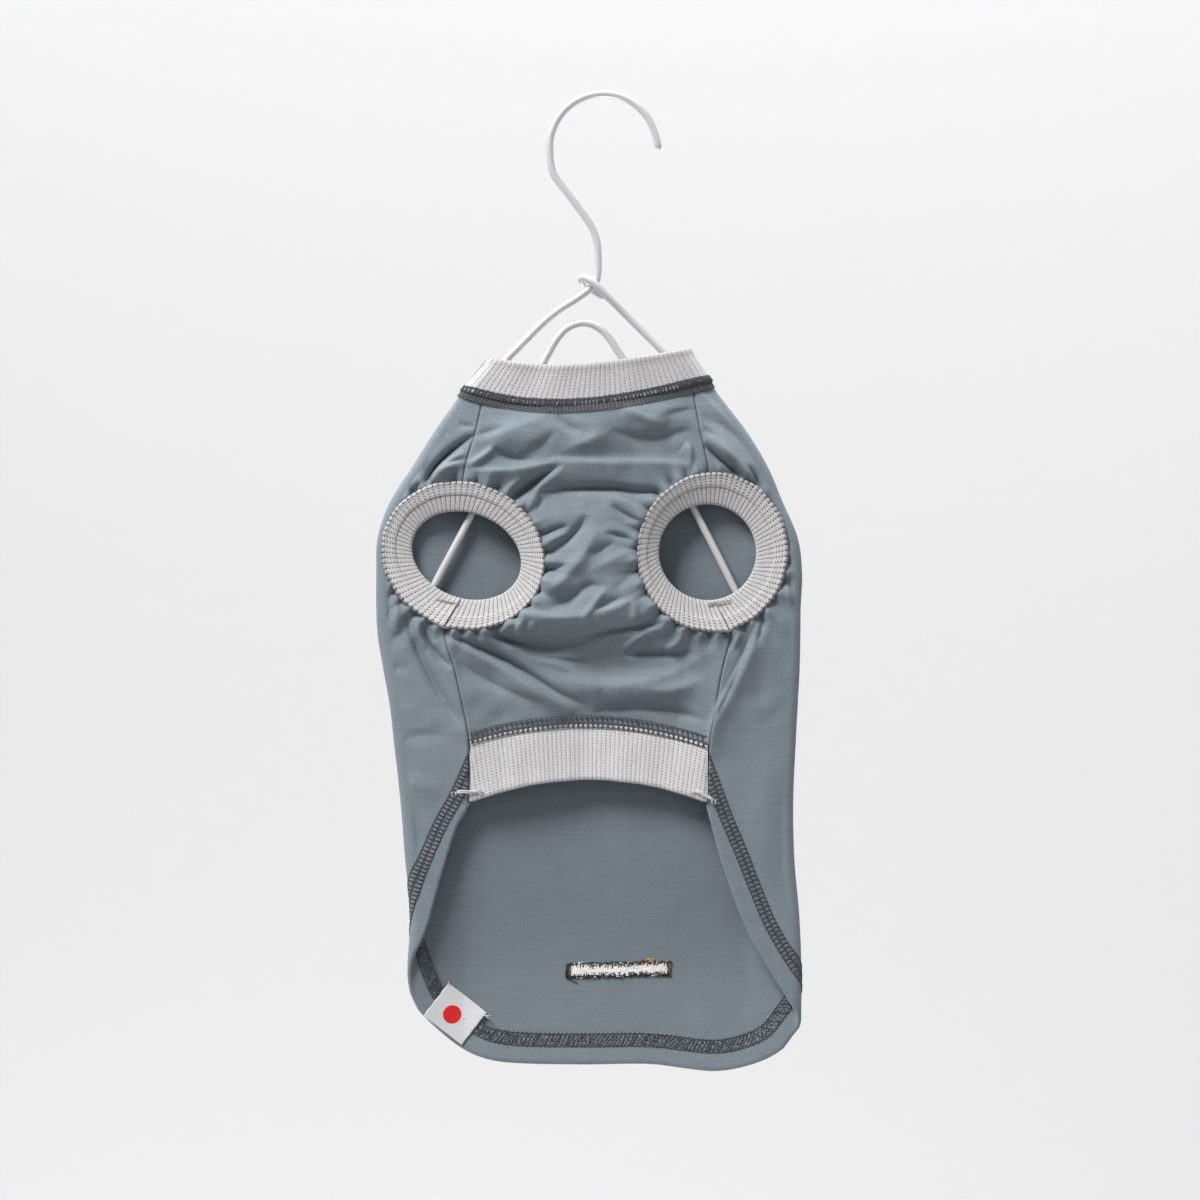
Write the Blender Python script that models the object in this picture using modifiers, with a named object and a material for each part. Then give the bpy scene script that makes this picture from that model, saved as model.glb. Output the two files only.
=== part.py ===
"""A small dog's T-shirt on a wire hanger, belly side to the front.

The script works in metres with +Z up. The sizes and tables below are in millimetres.
The origin is the inner face of the hook's crown, where the hanger hangs on its rail. The
belly of the shirt faces -Y and its back faces +Y. The shirt is a flattened tube: one back
panel comes round both sides to the seams on the belly side, and a belly panel fills the
front between them. Its bottom is open, and the back panel reaches lower than the belly.
"""
import math
from collections import namedtuple

import bmesh
import bpy
from mathutils import Matrix, Vector

MM = 0.001
SEAM_GAP = 0.3          # between two pieces that are sewn together
COLLAR_GAP = 0.45       # the same for the collar, which leans at both shoulders
JERSEY = 1.2            # wall of the one-layer body cloth
RIB = 1.8               # wall of the folded rib bands
PATCH = 1.0             # wall of the label and of the embroidery
WIRE = 3.2              # diameter of the hanger wire

FOLD_REACH = 4.5        # half width of the round side folds, to the middle of the wall
FOLD_DEPTH = 2.8        # half depth of the side folds, and of the flat edge of the shirt
BACK_BOW = 1.5          # how far the back panel bows out at its middle

BODY_ROWS = 16          # rows of faces from the neck seam to the belly rib's seam
TAIL_ROWS = 11          # rows of faces from there to the hem
FLAP_COLUMNS = 4        # columns of faces from a side seam to its fold
FOLD_COLUMNS = 6        # columns round one side fold
BACK_COLUMNS = 16       # columns across the back
BELLY_COLUMNS = 14      # columns across the belly panel and its rib
BAND_ROWS = 3           # rows of faces across a rib band
RING_SIDES = 40         # sides of a leg ring
COLLAR_COLUMNS = 60     # columns all round the collar
COLLAR_ROWS = 2
COLLAR_CROWDING = 0.75  # how strongly the collar's columns crowd together at its side folds

# The flattened tube at each height: the outlines of both side folds, the side seams on
# the belly side, and how far the belly side bows out.
Section = namedtuple("Section", "z left_fold left_seam right_seam right_fold bow")
BODY = (
    Section(-105, -47.0, -46.0, 34.0, 36.5, 3.5),
    Section(-118, -55.5, -48.5, 36.5, 44.0, 4.0),
    Section(-125, -60.3, -50.0, 37.8, 48.8, 4.5),
    Section(-140, -70.9, -53.2, 40.5, 60.3, 6.0),
    Section(-155, -80.3, -57.6, 43.9, 69.3, 7.0),
    Section(-170, -89.8, -59.5, 46.5, 75.7, 7.5),
    Section(-185, -94.9, -61.0, 48.8, 82.0, 8.0),
    Section(-200, -95.5, -63.0, 51.0, 83.8, 8.0),
    Section(-215, -95.5, -65.3, 52.8, 83.2, 7.5),
    Section(-226, -94.9, -66.3, 53.2, 83.1, 7.0),
    Section(-240, -92.6, -62.3, 49.8, 82.8, 6.5),
    Section(-255, -89.9, -58.9, 47.2, 82.0, 6.0),
    Section(-270, -88.2, -56.2, 44.4, 81.2, 5.0),
    Section(-295, -85.4, -56.2, 43.8, 80.1, 4.0),
    Section(-320, -83.4, -56.2, 43.8, 80.6, 3.0),
    Section(-343, -81.2, -56.2, 43.8, 82.6, 2.5),
    Section(-365, -82.4, -56.2, 43.8, 83.5, 2.0),
    Section(-390, -81.8, -56.2, 43.8, 83.4, 2.0),
    Section(-410, -81.5, -56.2, 43.8, 83.0, 2.0),
)

# Where the hem crosses a front flap: its height against the share of the flap's width,
# from the belly rib's corner at 0 to the side fold at 1.
FlapHem = namedtuple("FlapHem", "share left_z right_z")
FLAP_HEM = (
    FlapHem(0.00, -295.5, -296.0),
    FlapHem(0.12, -300.5, -310.0),
    FlapHem(0.25, -305.5, -324.5),
    FlapHem(0.50, -321.5, -348.5),
    FlapHem(0.75, -336.5, -364.5),
    FlapHem(1.00, -353.0, -378.5),
)

# The hem's way round a side fold, from the flap at 0 to the back layer at 1.
TurnHem = namedtuple("TurnHem", "share left_z right_z")
TURN_HEM = (
    TurnHem(0.00, -353.0, -378.5),
    TurnHem(0.25, -360.0, -383.0),
    TurnHem(0.50, -368.5, -387.5),
    TurnHem(0.75, -377.0, -391.3),
    TurnHem(1.00, -383.0, -394.5),
)

# The hem of the back layer.
BackHem = namedtuple("BackHem", "x z")
BACK_HEM = (
    BackHem(-77.5, -383.0),
    BackHem(-70.0, -390.5),
    BackHem(-60.0, -398.8),
    BackHem(-50.0, -403.4),
    BackHem(-38.0, -405.3),
    BackHem(-10.0, -406.0),
    BackHem(20.0, -405.8),
    BackHem(35.0, -407.6),
    BackHem(47.0, -408.7),
    BackHem(58.0, -407.2),
    BackHem(68.0, -403.8),
    BackHem(75.0, -399.5),
    BackHem(79.5, -394.5),
)

# Curved edges that run from side to side: heights of their ends, the sag of their middle
# (a rise where it is below zero), and how far the sag leans to the left.
Edge = namedtuple("Edge", "left_x left_z right_x right_z sag lean")
NECK_SEAM = Edge(-58.8, -123.4, 44.8, -119.4, 8.5, 0.25)
NECK_SEAM_BACK = Edge(-58.8, -123.4, 44.8, -119.4, 2.5, 0.0)
COLLAR_TOP = Edge(-47.5, -110.2, 36.6, -106.6, 4.8, 0.4)
COLLAR_TOP_BACK = Edge(-47.5, -110.2, 36.6, -106.6, 6.5, 0.3)
BELLY_SEAM = Edge(-56.2, -269.3, 44.0, -271.0, -8.0, 0.0)
BELLY_RIB_EDGE = Edge(-56.2, -295.0, 43.8, -295.0, -9.8, 0.0)

# The leg rings: outer and inner ellipses, both turned by the same tilt.
Ring = namedtuple("Ring", "name x z half_width half_height tilt "
                          "hole_x hole_z hole_half_width hole_half_height")
RINGS = (
    Ring("leg_rib_left", -58.6, -192.4, 35.0, 30.7, -20.0, -57.2, -192.4, 23.4, 17.6),
    Ring("leg_rib_right", 45.9, -191.0, 31.8, 33.6, -11.0, 43.7, -191.0, 20.3, 19.9),
)
RING_CROWN = 0.8        # how far the middle of a ring's band stands out
CUTTER_FRONT = -40      # where the guides that open the panels for the rings begin in y
CUTTER_REAR = -0.4      # and end

# The largest folds of the belly side: each runs between two points, with a half width
# and the height of its crest. A valley has a height below zero.
Crease = namedtuple("Crease", "x z to_x to_z half_width crest")
CREASES = (
    Crease(-50, -156, 28, -153, 4.0, 1.3),
    Crease(-42, -163, -14, -184, 5.0, -1.2),
    Crease(-16, -155, -30, -177, 4.0, 1.2),
    Crease(-4, -165, 24, -165, 4.5, -1.2),
    Crease(2, -176, -20, -204, 6.0, 1.1),
    Crease(28, -222, -36, -226, 4.0, -1.2),
    Crease(-58, -231, -14, -246, 5.0, 1.2),
    Crease(-14, -246, 46, -233, 5.0, 1.2),
    Crease(-82, -214, -64, -260, 4.5, -1.0),
    Crease(62, -222, 46, -264, 4.5, 1.2),
    Crease(-52, -140, -74, -161, 4.0, -1.0),
    Crease(43, -146, 66, -167, 4.0, 1.0),
)

# The flag label on the inside of the hem and the embroidered bar above it.
Patch = namedtuple("Patch", "x z width height tilt columns rows")
LABEL = Patch(-62.4, -385.4, 20.0, 16.6, -38.0, 4, 4)
EMBROIDERY = Patch(6.5, -366.7, 43.0, 5.6, 0.0, 6, 1)

# The hanger is one wire. It starts at the hook's tip, makes the hook and its stem, runs
# down the left shoulder, returns as the inner loop, goes up the right shoulder and ends
# in a hitch round the stem.
Bend = namedtuple("Bend", "x y z")
HOOK_RADIUS = 22.5
HOOK = [
    Bend(23.5, 0, -21.8),
    *(Bend(HOOK_RADIUS * math.cos(math.radians(turn)), 0,
           WIRE / 2 - HOOK_RADIUS + HOOK_RADIUS * math.sin(math.radians(turn)))
      for turn in range(18, 181, 18)),
]
STEM = [
    Bend(-21.4, 0, -30.7),
    Bend(-18.6, 0, -35.4),
    Bend(-14.9, 0, -40.2),
    Bend(-11.0, 0, -45.3),
    Bend(-7.4, 0, -50.3),
    Bend(-4.5, 0, -55.0),
    Bend(-2.7, 0, -60.0),
    Bend(-2.1, 0, -66.0),
    Bend(-2.1, 0, -71.5),
    Bend(-2.8, 0, -76.5),
    Bend(-5.6, 0, -80.3),
]
LEFT_ARM = [
    Bend(-11.4, 0, -84.6),
    Bend(-18.6, 0, -89.2),
    Bend(-25.4, 0, -94.7),
    Bend(-32.1, 0, -101.4),
    Bend(-40.2, 0, -109.6),
    Bend(-45.8, 0, -116.2),
    Bend(-52.2, 0, -123.0),
    Bend(-59.3, 0, -130.6),
    Bend(-65.9, 0, -139.4),
    Bend(-73.4, 0, -150.4),
    Bend(-79.0, 0, -160.5),
    Bend(-83.6, 0, -171.0),
    Bend(-86.0, 0, -181.5),
    Bend(-86.6, 0, -193.0),
    Bend(-86.5, 0, -205.0),
    Bend(-85.8, 0, -213.5),
    Bend(-82.0, 0, -219.4),
    Bend(-77.0, 0, -216.4),
    Bend(-71.2, 0, -205.2),
    Bend(-63.2, 0, -190.2),
    Bend(-55.3, 0, -175.2),
    Bend(-45.2, 0, -154.0),
    Bend(-35.0, 0, -132.5),
]
INNER_LOOP = [
    Bend(-25.6, 0, -112.5),
    Bend(-22.8, 0, -107.0),
    Bend(-19.3, 0, -101.2),
    Bend(-14.8, 0, -96.6),
    Bend(-8.4, 0, -94.6),
    Bend(-2.0, 0, -96.6),
    Bend(2.9, 0, -101.4),
    Bend(6.2, 0, -106.6),
    Bend(8.6, 0, -110.4),
]
RIGHT_ARM = [
    Bend(17.0, 0, -129.0),
    Bend(27.6, 0, -151.5),
    Bend(38.2, 0, -172.9),
    Bend(47.2, 0, -190.4),
    Bend(56.0, 0, -207.8),
    Bend(61.5, 0, -217.2),
    Bend(67.4, 0, -221.4),
    Bend(73.2, 0, -216.0),
    Bend(75.0, 0, -206.0),
    Bend(75.0, 0, -193.0),
    Bend(73.4, 0, -181.0),
    Bend(70.8, 0, -170.0),
    Bend(67.8, 0, -161.0),
    Bend(62.0, 0, -148.6),
    Bend(55.9, 0, -140.0),
    Bend(48.4, 0, -131.0),
    Bend(40.6, 0, -122.2),
    Bend(33.0, 0, -114.4),
    Bend(25.4, 0, -106.8),
    Bend(15.5, 0, -97.0),
    Bend(8.5, -0.8, -90.2),
]
HITCH = [
    Bend(2.2, -2.7, -84.2),
    Bend(-3.4, -3.8, -78.6),
    Bend(-7.8, -2.8, -75.6),
    Bend(-10.2, 0.4, -76.6),
    Bend(-8.4, 3.4, -79.6),
    Bend(-3.8, 3.9, -82.2),
    Bend(1.8, 3.2, -84.4),
]
WIRE_STEP = 5.0         # distance between two points of the bent wire


# --- Reading the tables ---------------------------------------------------------------

def smooth(rows, key, column, at):
    """Read a column of a table at any value of its key, on one smooth curve."""
    keys = [getattr(row, key) for row in rows]
    values = [getattr(row, column) for row in rows]
    if keys[0] > keys[-1]:
        keys.reverse()
        values.reverse()
    at = min(max(at, keys[0]), keys[-1])
    left = 0
    while left < len(keys) - 2 and keys[left + 1] < at:
        left += 1
    span = keys[left + 1] - keys[left]
    share = (at - keys[left]) / span

    def slope(index):
        low, high = max(index - 1, 0), min(index + 1, len(keys) - 1)
        return (values[high] - values[low]) / (keys[high] - keys[low])

    start, end = values[left], values[left + 1]
    ease = share * share * (3 - 2 * share)
    return (start + (end - start) * ease
            + slope(left) * span * share * (1 - share) ** 2
            - slope(left + 1) * span * share * share * (1 - share))


def between(start, end, share):
    return start + (end - start) * share


def edge_z(edge, x):
    """Height of a curved edge at x."""
    share = (x - edge.left_x) / (edge.right_x - edge.left_x)
    across = min(max(2 * share - 1, -1), 1)
    sag = edge.sag * (1 - across * across) * (1 - edge.lean * across)
    return between(edge.left_z, edge.right_z, share) - sag


def body(column, z):
    return smooth(BODY, "z", column, z)


def fold_centres(z):
    """Middles of the left and the right side fold, where the flat cloth begins."""
    inset = JERSEY / 2 + FOLD_REACH
    return body("left_fold", z) + inset, body("right_fold", z) - inset


def crease_height(x, z):
    """How far the folds lift the belly side at a point."""
    lift = 0
    for crease in CREASES:
        start = Vector((crease.x, crease.z))
        run = Vector((crease.to_x, crease.to_z)) - start
        along = min(max((Vector((x, z)) - start).dot(run) / run.length_squared, 0), 1)
        away = (Vector((x, z)) - start - run * along).length / crease.half_width
        lift += crease.crest * math.exp(-away * away) * math.sqrt(math.sin(math.pi * along))
    return lift


def rounded(x, z, bow):
    """Half depth of the flattened tube at x: a round fold at each side, bowed between."""
    left, right = fold_centres(z)
    past = max(left - x, x - right, 0) / FOLD_REACH
    if past > 0:
        return FOLD_DEPTH * math.sqrt(max(1 - past * past, 0))
    share = (x - left) / (right - left)
    return FOLD_DEPTH + bow * 4 * share * (1 - share)


def belly_y(x, z):
    """Middle of the cloth on the belly side."""
    left, right = fold_centres(z)
    flat = min(max(min(x - left, right - x) / FOLD_REACH, 0), 1)
    return -rounded(x, z, body("bow", z)) - crease_height(x, z) * flat


def back_y(x, z):
    """Middle of the cloth on the back."""
    return rounded(x, z, BACK_BOW)


# --- Making solids --------------------------------------------------------------------

def material(name, colour, roughness, metallic=0.0):
    made = bpy.data.materials.new(name)
    made.use_nodes = True
    shader = made.node_tree.nodes["Principled BSDF"]
    shader.inputs["Base Color"].default_value = (*colour, 1)
    shader.inputs["Roughness"].default_value = roughness
    shader.inputs["Metallic"].default_value = metallic
    return made


def cloth(name, columns, rows, place, wall, finish, closed=False):
    """A grid of cloth, bent into place and given its wall."""
    mesh = bpy.data.meshes.new(name)
    sheet = bmesh.new()
    bmesh.ops.create_grid(sheet, x_segments=columns, y_segments=rows, size=1)
    for vertex in sheet.verts:
        across, down = (vertex.co.x + 1) / 2, (1 - vertex.co.y) / 2
        vertex.co = Vector(place(across, down)) * MM
    if closed:
        bmesh.ops.remove_doubles(sheet, verts=sheet.verts, dist=1e-6)
    bmesh.ops.recalc_face_normals(sheet, faces=sheet.faces)
    sheet.to_mesh(mesh)
    sheet.free()
    mesh.materials.append(finish)
    piece = bpy.data.objects.new(name, mesh)
    shirt.objects.link(piece)
    shell = piece.modifiers.new("Wall", "SOLIDIFY")
    shell.thickness = wall * MM
    shell.offset = 0
    shell.use_even_offset = True
    return piece


# --- The body -------------------------------------------------------------------------

ROUND_THE_BACK = (FLAP_COLUMNS, FOLD_COLUMNS, BACK_COLUMNS, FOLD_COLUMNS, FLAP_COLUMNS)
LEFT_FLAP, LEFT_FOLD, BACK_LAYER, RIGHT_FOLD, RIGHT_FLAP = range(5)


def back_stretch(across):
    """Which stretch of the back panel a column is in, and its share of that stretch."""
    column = across * sum(ROUND_THE_BACK)
    for stretch, columns in enumerate(ROUND_THE_BACK):
        if column <= columns or stretch == RIGHT_FLAP:
            return stretch, min(column / columns, 1)
        column -= columns


def back_panel_x_y(across, z):
    """Where a column of the back panel passes at a height: seam, fold, back, fold, seam."""
    stretch, share = back_stretch(across)
    left, right = fold_centres(z)
    if stretch == LEFT_FLAP:
        x = between(body("left_seam", z) - SEAM_GAP / 2, left, share)
        return x, belly_y(x, z)
    if stretch == RIGHT_FLAP:
        x = between(right, body("right_seam", z) + SEAM_GAP / 2, share)
        return x, belly_y(x, z)
    if stretch == BACK_LAYER:
        x = between(left, right, share)
        return x, back_y(x, z)
    turn = math.pi * share
    if stretch == LEFT_FOLD:
        return left - FOLD_REACH * math.sin(turn), -FOLD_DEPTH * math.cos(turn)
    return right + FOLD_REACH * math.sin(turn), FOLD_DEPTH * math.cos(turn)


def neck_z(across):
    """Height of the neck seam round the back panel."""
    stretch, share = back_stretch(across)
    z = NECK_SEAM.left_z
    for _ in range(3):
        x = back_panel_x_y(across, z)[0]
        front, back = edge_z(NECK_SEAM, x), edge_z(NECK_SEAM_BACK, x)
        back_share = (0, share, 1, 1 - share, 0)[stretch]
        z = between(front, back, back_share)
    return z


def hem_z(across):
    """Height of the hem round the back panel."""
    stretch, share = back_stretch(across)
    if stretch == LEFT_FLAP:
        return smooth(FLAP_HEM, "share", "left_z", share)
    if stretch == LEFT_FOLD:
        return smooth(TURN_HEM, "share", "left_z", share)
    if stretch == RIGHT_FOLD:
        return smooth(TURN_HEM, "share", "right_z", 1 - share)
    if stretch == RIGHT_FLAP:
        return smooth(FLAP_HEM, "share", "right_z", 1 - share)
    left, right = fold_centres(BACK_HEM[0].z)
    return smooth(BACK_HEM, "x", "z", between(left, right, share))


def waist_z(across):
    """Height of the belly rib's seam, carried on round the back panel."""
    x = back_panel_x_y(across, BELLY_SEAM.left_z)[0]
    return edge_z(BELLY_SEAM, min(max(x, BELLY_SEAM.left_x), BELLY_SEAM.right_x))


def back_panel_point(across, down):
    row = down * (BODY_ROWS + TAIL_ROWS)
    if row <= BODY_ROWS:
        z = between(neck_z(across), waist_z(across), row / BODY_ROWS)
    else:
        z = between(waist_z(across), hem_z(across), (row - BODY_ROWS) / TAIL_ROWS)
    return (*back_panel_x_y(across, z), z)


def belly_panel_x(across, z):
    return between(body("left_seam", z) + SEAM_GAP / 2,
                   body("right_seam", z) - SEAM_GAP / 2, across)


def belly_panel_point(across, down):
    top = NECK_SEAM.left_z
    for _ in range(3):
        top = edge_z(NECK_SEAM, belly_panel_x(across, top))
    bottom = edge_z(BELLY_SEAM, belly_panel_x(across, BELLY_SEAM.left_z))
    z = between(top, bottom, down)
    x = belly_panel_x(across, z)
    return x, belly_y(x, z), z


def belly_rib_point(across, down):
    x = between(BELLY_RIB_EDGE.left_x + SEAM_GAP / 2,
                BELLY_RIB_EDGE.right_x - SEAM_GAP / 2, across)
    z = between(edge_z(BELLY_SEAM, x) - SEAM_GAP, edge_z(BELLY_RIB_EDGE, x), down)
    return x, belly_y(x, z) - (RIB - JERSEY) / 2, z


def collar_point(across, down):
    """The collar band: over the belly side first, then back round the neck."""
    columns = across * 2
    front = columns <= 1
    share = columns if front else 2 - columns
    turn = math.pi * (1 - share)
    # Columns crowd together at both side folds, where the band turns.
    lean = between(share, (1 + math.cos(turn)) / 2, COLLAR_CROWDING)
    seam_edge = NECK_SEAM if front else NECK_SEAM_BACK
    top_edge = COLLAR_TOP if front else COLLAR_TOP_BACK
    seam_x = between(NECK_SEAM.left_x, NECK_SEAM.right_x, lean)
    top_x = between(COLLAR_TOP.left_x, COLLAR_TOP.right_x, lean)
    x = between(top_x, seam_x, down)
    z = between(edge_z(top_edge, top_x), edge_z(seam_edge, seam_x) + COLLAR_GAP, down)
    half_width = between(COLLAR_TOP.right_x - COLLAR_TOP.left_x,
                         NECK_SEAM.right_x - NECK_SEAM.left_x, down) / 2
    from_fold = min(lean, 1 - lean) * 2 * half_width
    past = max(1 - from_fold / FOLD_REACH, 0)
    depth = FOLD_DEPTH + (RIB - JERSEY) / 2
    bow = (body("bow", z) if front else BACK_BOW) * 4 * lean * (1 - lean)
    y = depth * math.sqrt(1 - past * past) + bow
    return x, -y if front else y, z


def on_ellipse(x, z, half_width, half_height, tilt, turn):
    tilt = math.radians(tilt)
    wide, high = half_width * math.cos(turn), half_height * math.sin(turn)
    return (x + wide * math.cos(tilt) - high * math.sin(tilt),
            z + wide * math.sin(tilt) + high * math.cos(tilt))


def ring_point(ring, across, down):
    """A leg ring's band, from its outer edge to its hole."""
    turn = 2 * math.pi * across
    outer = on_ellipse(ring.x, ring.z, ring.half_width, ring.half_height, ring.tilt, turn)
    inner = on_ellipse(ring.hole_x, ring.hole_z, ring.hole_half_width,
                       ring.hole_half_height, ring.tilt, turn)
    x, z = (between(outer[i], inner[i], down) for i in (0, 1))
    crown = (RIB - JERSEY) / 2 + RING_CROWN * math.sin(math.pi * down)
    flat = -rounded(x, z, body("bow", z))
    return x, flat - crown, z


def ring_cutter(ring):
    """A guide that opens both panels for a leg ring, from well in front of the belly side
    to just short of the shirt's middle plane, so that it leaves the back layer whole."""
    front, rear = CUTTER_FRONT, CUTTER_REAR
    mesh = bpy.data.meshes.new(ring.name + "_opening")
    plug = bmesh.new()
    bmesh.ops.create_cone(plug, cap_ends=True, segments=RING_SIDES, radius1=1, radius2=1,
                          depth=(rear - front) * MM)
    place = (Matrix.Translation(Vector((ring.x, (front + rear) / 2, ring.z)) * MM)
             @ Matrix.Rotation(math.radians(-ring.tilt), 4, "Y")
             @ Matrix.Diagonal(((ring.half_width + SEAM_GAP) * MM, 1,
                                (ring.half_height + SEAM_GAP) * MM, 1))
             @ Matrix.Rotation(math.radians(90), 4, "X"))
    bmesh.ops.transform(plug, matrix=place, verts=plug.verts)
    bmesh.ops.recalc_face_normals(plug, faces=plug.faces)
    plug.to_mesh(mesh)
    plug.free()
    cutter = bpy.data.objects.new(ring.name + "_opening", mesh)
    cutter.hide_render = True
    cutter.display_type = "WIRE"
    cutters.objects.link(cutter)
    return cutter


def make_body(jersey, rib):
    back_panel = cloth("back_panel", sum(ROUND_THE_BACK), BODY_ROWS + TAIL_ROWS,
                       back_panel_point, JERSEY, jersey)
    belly_panel = cloth("belly_panel", BELLY_COLUMNS, BODY_ROWS, belly_panel_point,
                        JERSEY, jersey)
    for ring in RINGS:
        cloth(ring.name, RING_SIDES, BAND_ROWS, lambda across, down: ring_point(ring, across, down),
              RIB, rib, closed=True)
        opening = ring_cutter(ring)
        for panel in (back_panel, belly_panel):
            cut = panel.modifiers.new(ring.name + " opening", "BOOLEAN")
            cut.object = opening
            cut.operation = "DIFFERENCE"
    cloth("belly_rib", BELLY_COLUMNS, BAND_ROWS, belly_rib_point, RIB, rib)
    cloth("collar_rib", COLLAR_COLUMNS, COLLAR_ROWS, collar_point, RIB, rib, closed=True)


# --- What is sewn on the back layer ---------------------------------------------------

def patch_point(patch, side, across, down):
    """A point of a patch on the back layer, inside it (-1) or outside it (1)."""
    tilt = math.radians(patch.tilt)
    wide, high = (across - 0.5) * patch.width, (0.5 - down) * patch.height
    x = patch.x + wide * math.cos(tilt) - high * math.sin(tilt)
    z = patch.z + wide * math.sin(tilt) + high * math.cos(tilt)
    clear = JERSEY / 2 + SEAM_GAP + PATCH / 2
    return x, back_y(x, z) + side * clear, z


def make_patch(name, patch, side, finish):
    cloth(name, patch.columns, patch.rows,
          lambda across, down: patch_point(patch, side, across, down), PATCH, finish)


def make_patches(label, embroidery):
    make_patch("flag_label", LABEL, -1, label)
    make_patch("embroidery_inside", EMBROIDERY, -1, embroidery)
    make_patch("embroidery_outside", EMBROIDERY, 1, embroidery)


# --- The hanger -----------------------------------------------------------------------

def bent_wire(bends):
    """Points at an even step on one smooth curve through the bends."""
    points = [Vector(bend) for bend in bends]
    smoothed = []
    for index in range(len(points) - 1):
        before, start = points[max(index - 1, 0)], points[index]
        end, after = points[index + 1], points[min(index + 2, len(points) - 1)]
        steps = max(round((end - start).length / WIRE_STEP), 1)
        for step in range(steps):
            share = step / steps
            smoothed.append(0.5 * (2 * start + (end - before) * share
                                   + (2 * before - 5 * start + 4 * end - after) * share ** 2
                                   + (3 * start - before - 3 * end + after) * share ** 3))
    smoothed.append(points[-1])
    return smoothed


def make_hanger(paint):
    route = bent_wire(HOOK + STEM + LEFT_ARM + INNER_LOOP + RIGHT_ARM + HITCH)
    curve = bpy.data.curves.new("wire_hanger", "CURVE")
    curve.dimensions = "3D"
    curve.bevel_depth = WIRE / 2 * MM
    curve.bevel_resolution = 2
    curve.use_fill_caps = True
    curve.materials.append(paint)
    line = curve.splines.new("POLY")
    line.points.add(len(route) - 1)
    for point, bend in zip(line.points, route):
        point.co = (*(bend * MM), 1)
    hanger = bpy.data.objects.new("wire_hanger", curve)
    shirt.objects.link(hanger)


# --- The whole part -------------------------------------------------------------------

for old in list(bpy.data.objects):
    bpy.data.objects.remove(old)
shirt = bpy.data.collections.new("pet_t_shirt")
cutters = bpy.data.collections.new("cutters")
bpy.context.scene.collection.children.link(shirt)
bpy.context.scene.collection.children.link(cutters)

make_body(jersey=material("jersey", (0.21, 0.26, 0.29), 0.9),
          rib=material("rib knit", (0.60, 0.58, 0.59), 0.9))
make_patches(label=material("label", (0.80, 0.80, 0.82), 0.7),
             embroidery=material("embroidery", (0.70, 0.66, 0.58), 0.8))
make_hanger(paint=material("painted wire", (0.76, 0.76, 0.77), 0.3, 0.2))
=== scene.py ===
"""The looks of a small dog's T-shirt on its wire hanger.

Tables and names that are lengths are in millimetres, as on a pattern sheet, and MM turns them
into metres. The belly side of the shirt faces -Y, its back faces +Y, and Z is up.
"""
import math
import random
from collections import namedtuple

import bmesh
import bpy
import numpy as np
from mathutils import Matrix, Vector


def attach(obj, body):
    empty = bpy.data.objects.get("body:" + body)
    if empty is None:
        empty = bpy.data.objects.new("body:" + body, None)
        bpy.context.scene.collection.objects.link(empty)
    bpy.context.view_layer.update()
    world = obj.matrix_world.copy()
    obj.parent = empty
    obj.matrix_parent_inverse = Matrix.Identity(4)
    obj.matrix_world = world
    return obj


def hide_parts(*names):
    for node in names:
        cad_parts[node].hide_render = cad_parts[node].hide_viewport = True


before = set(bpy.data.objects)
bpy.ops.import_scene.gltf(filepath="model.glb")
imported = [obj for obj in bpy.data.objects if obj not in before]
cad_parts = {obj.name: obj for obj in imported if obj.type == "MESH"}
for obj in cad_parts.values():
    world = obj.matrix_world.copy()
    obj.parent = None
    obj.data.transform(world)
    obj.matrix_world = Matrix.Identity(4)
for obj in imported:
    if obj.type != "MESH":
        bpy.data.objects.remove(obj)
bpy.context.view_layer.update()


# === Camera, floor, wall and lights ===========================================================
# The shirt is seen straight on, from as far as a portrait lens asks. It hangs in a round pale
# room, so each side of it is seen against the same wall, under one large soft light and fill.

MM = 0.001
VIEW_WIDTH = 504.0       # what the picture takes in, at the shirt
VIEW_MIDDLE = Vector((-1.3, 0, -211.0))
LENS = 85.0
SENSOR = 36.0


def into_scene(name, data):
    """A new object in the scene, at its origin."""
    made = bpy.data.objects.new(name, data)
    bpy.context.scene.collection.objects.link(made)
    return made


camera_data = bpy.data.cameras.new("camera")
camera_data.lens = LENS
camera_data.sensor_width = SENSOR
camera = into_scene("camera", camera_data)
camera.location = (VIEW_MIDDLE + Vector((0, -VIEW_WIDTH * LENS / SENSOR, 0))) * MM
camera.rotation_euler = (math.radians(90), 0, 0)
bpy.context.scene.camera = camera
bpy.context.scene.view_settings.view_transform = "Standard"


def add_node(tree, kind, inputs=None, **settings):
    """A new shader node. Each input is set to a value, or joined to another node's output."""
    node = tree.nodes.new("ShaderNode" + kind)
    for setting, value in settings.items():
        setattr(node, setting, value)
    for name, value in (inputs or {}).items():
        if isinstance(value, bpy.types.NodeSocket):
            tree.links.new(value, node.inputs[name])
        else:
            node.inputs[name].default_value = value
    return node


def principled(name, colour, roughness, more=None):
    """A new material; returns it with its node tree and its shader. more sets other inputs."""
    made = bpy.data.materials.new(name)
    made.use_nodes = True
    shader = made.node_tree.nodes["Principled BSDF"]
    shader.inputs["Base Color"].default_value = (*colour, 1)
    shader.inputs["Roughness"].default_value = roughness
    for socket, value in (more or {}).items():
        shader.inputs[socket].default_value = value
    return made, made.node_tree, shader


def raise_surface(tree, shader, height, strength, depth):
    """Gives the shader a fine relief from a height; depth is in metres."""
    bump = add_node(tree, "Bump", {"Height": height, "Strength": strength, "Distance": depth})
    tree.links.new(bump.outputs["Normal"], shader.inputs["Normal"])


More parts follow.
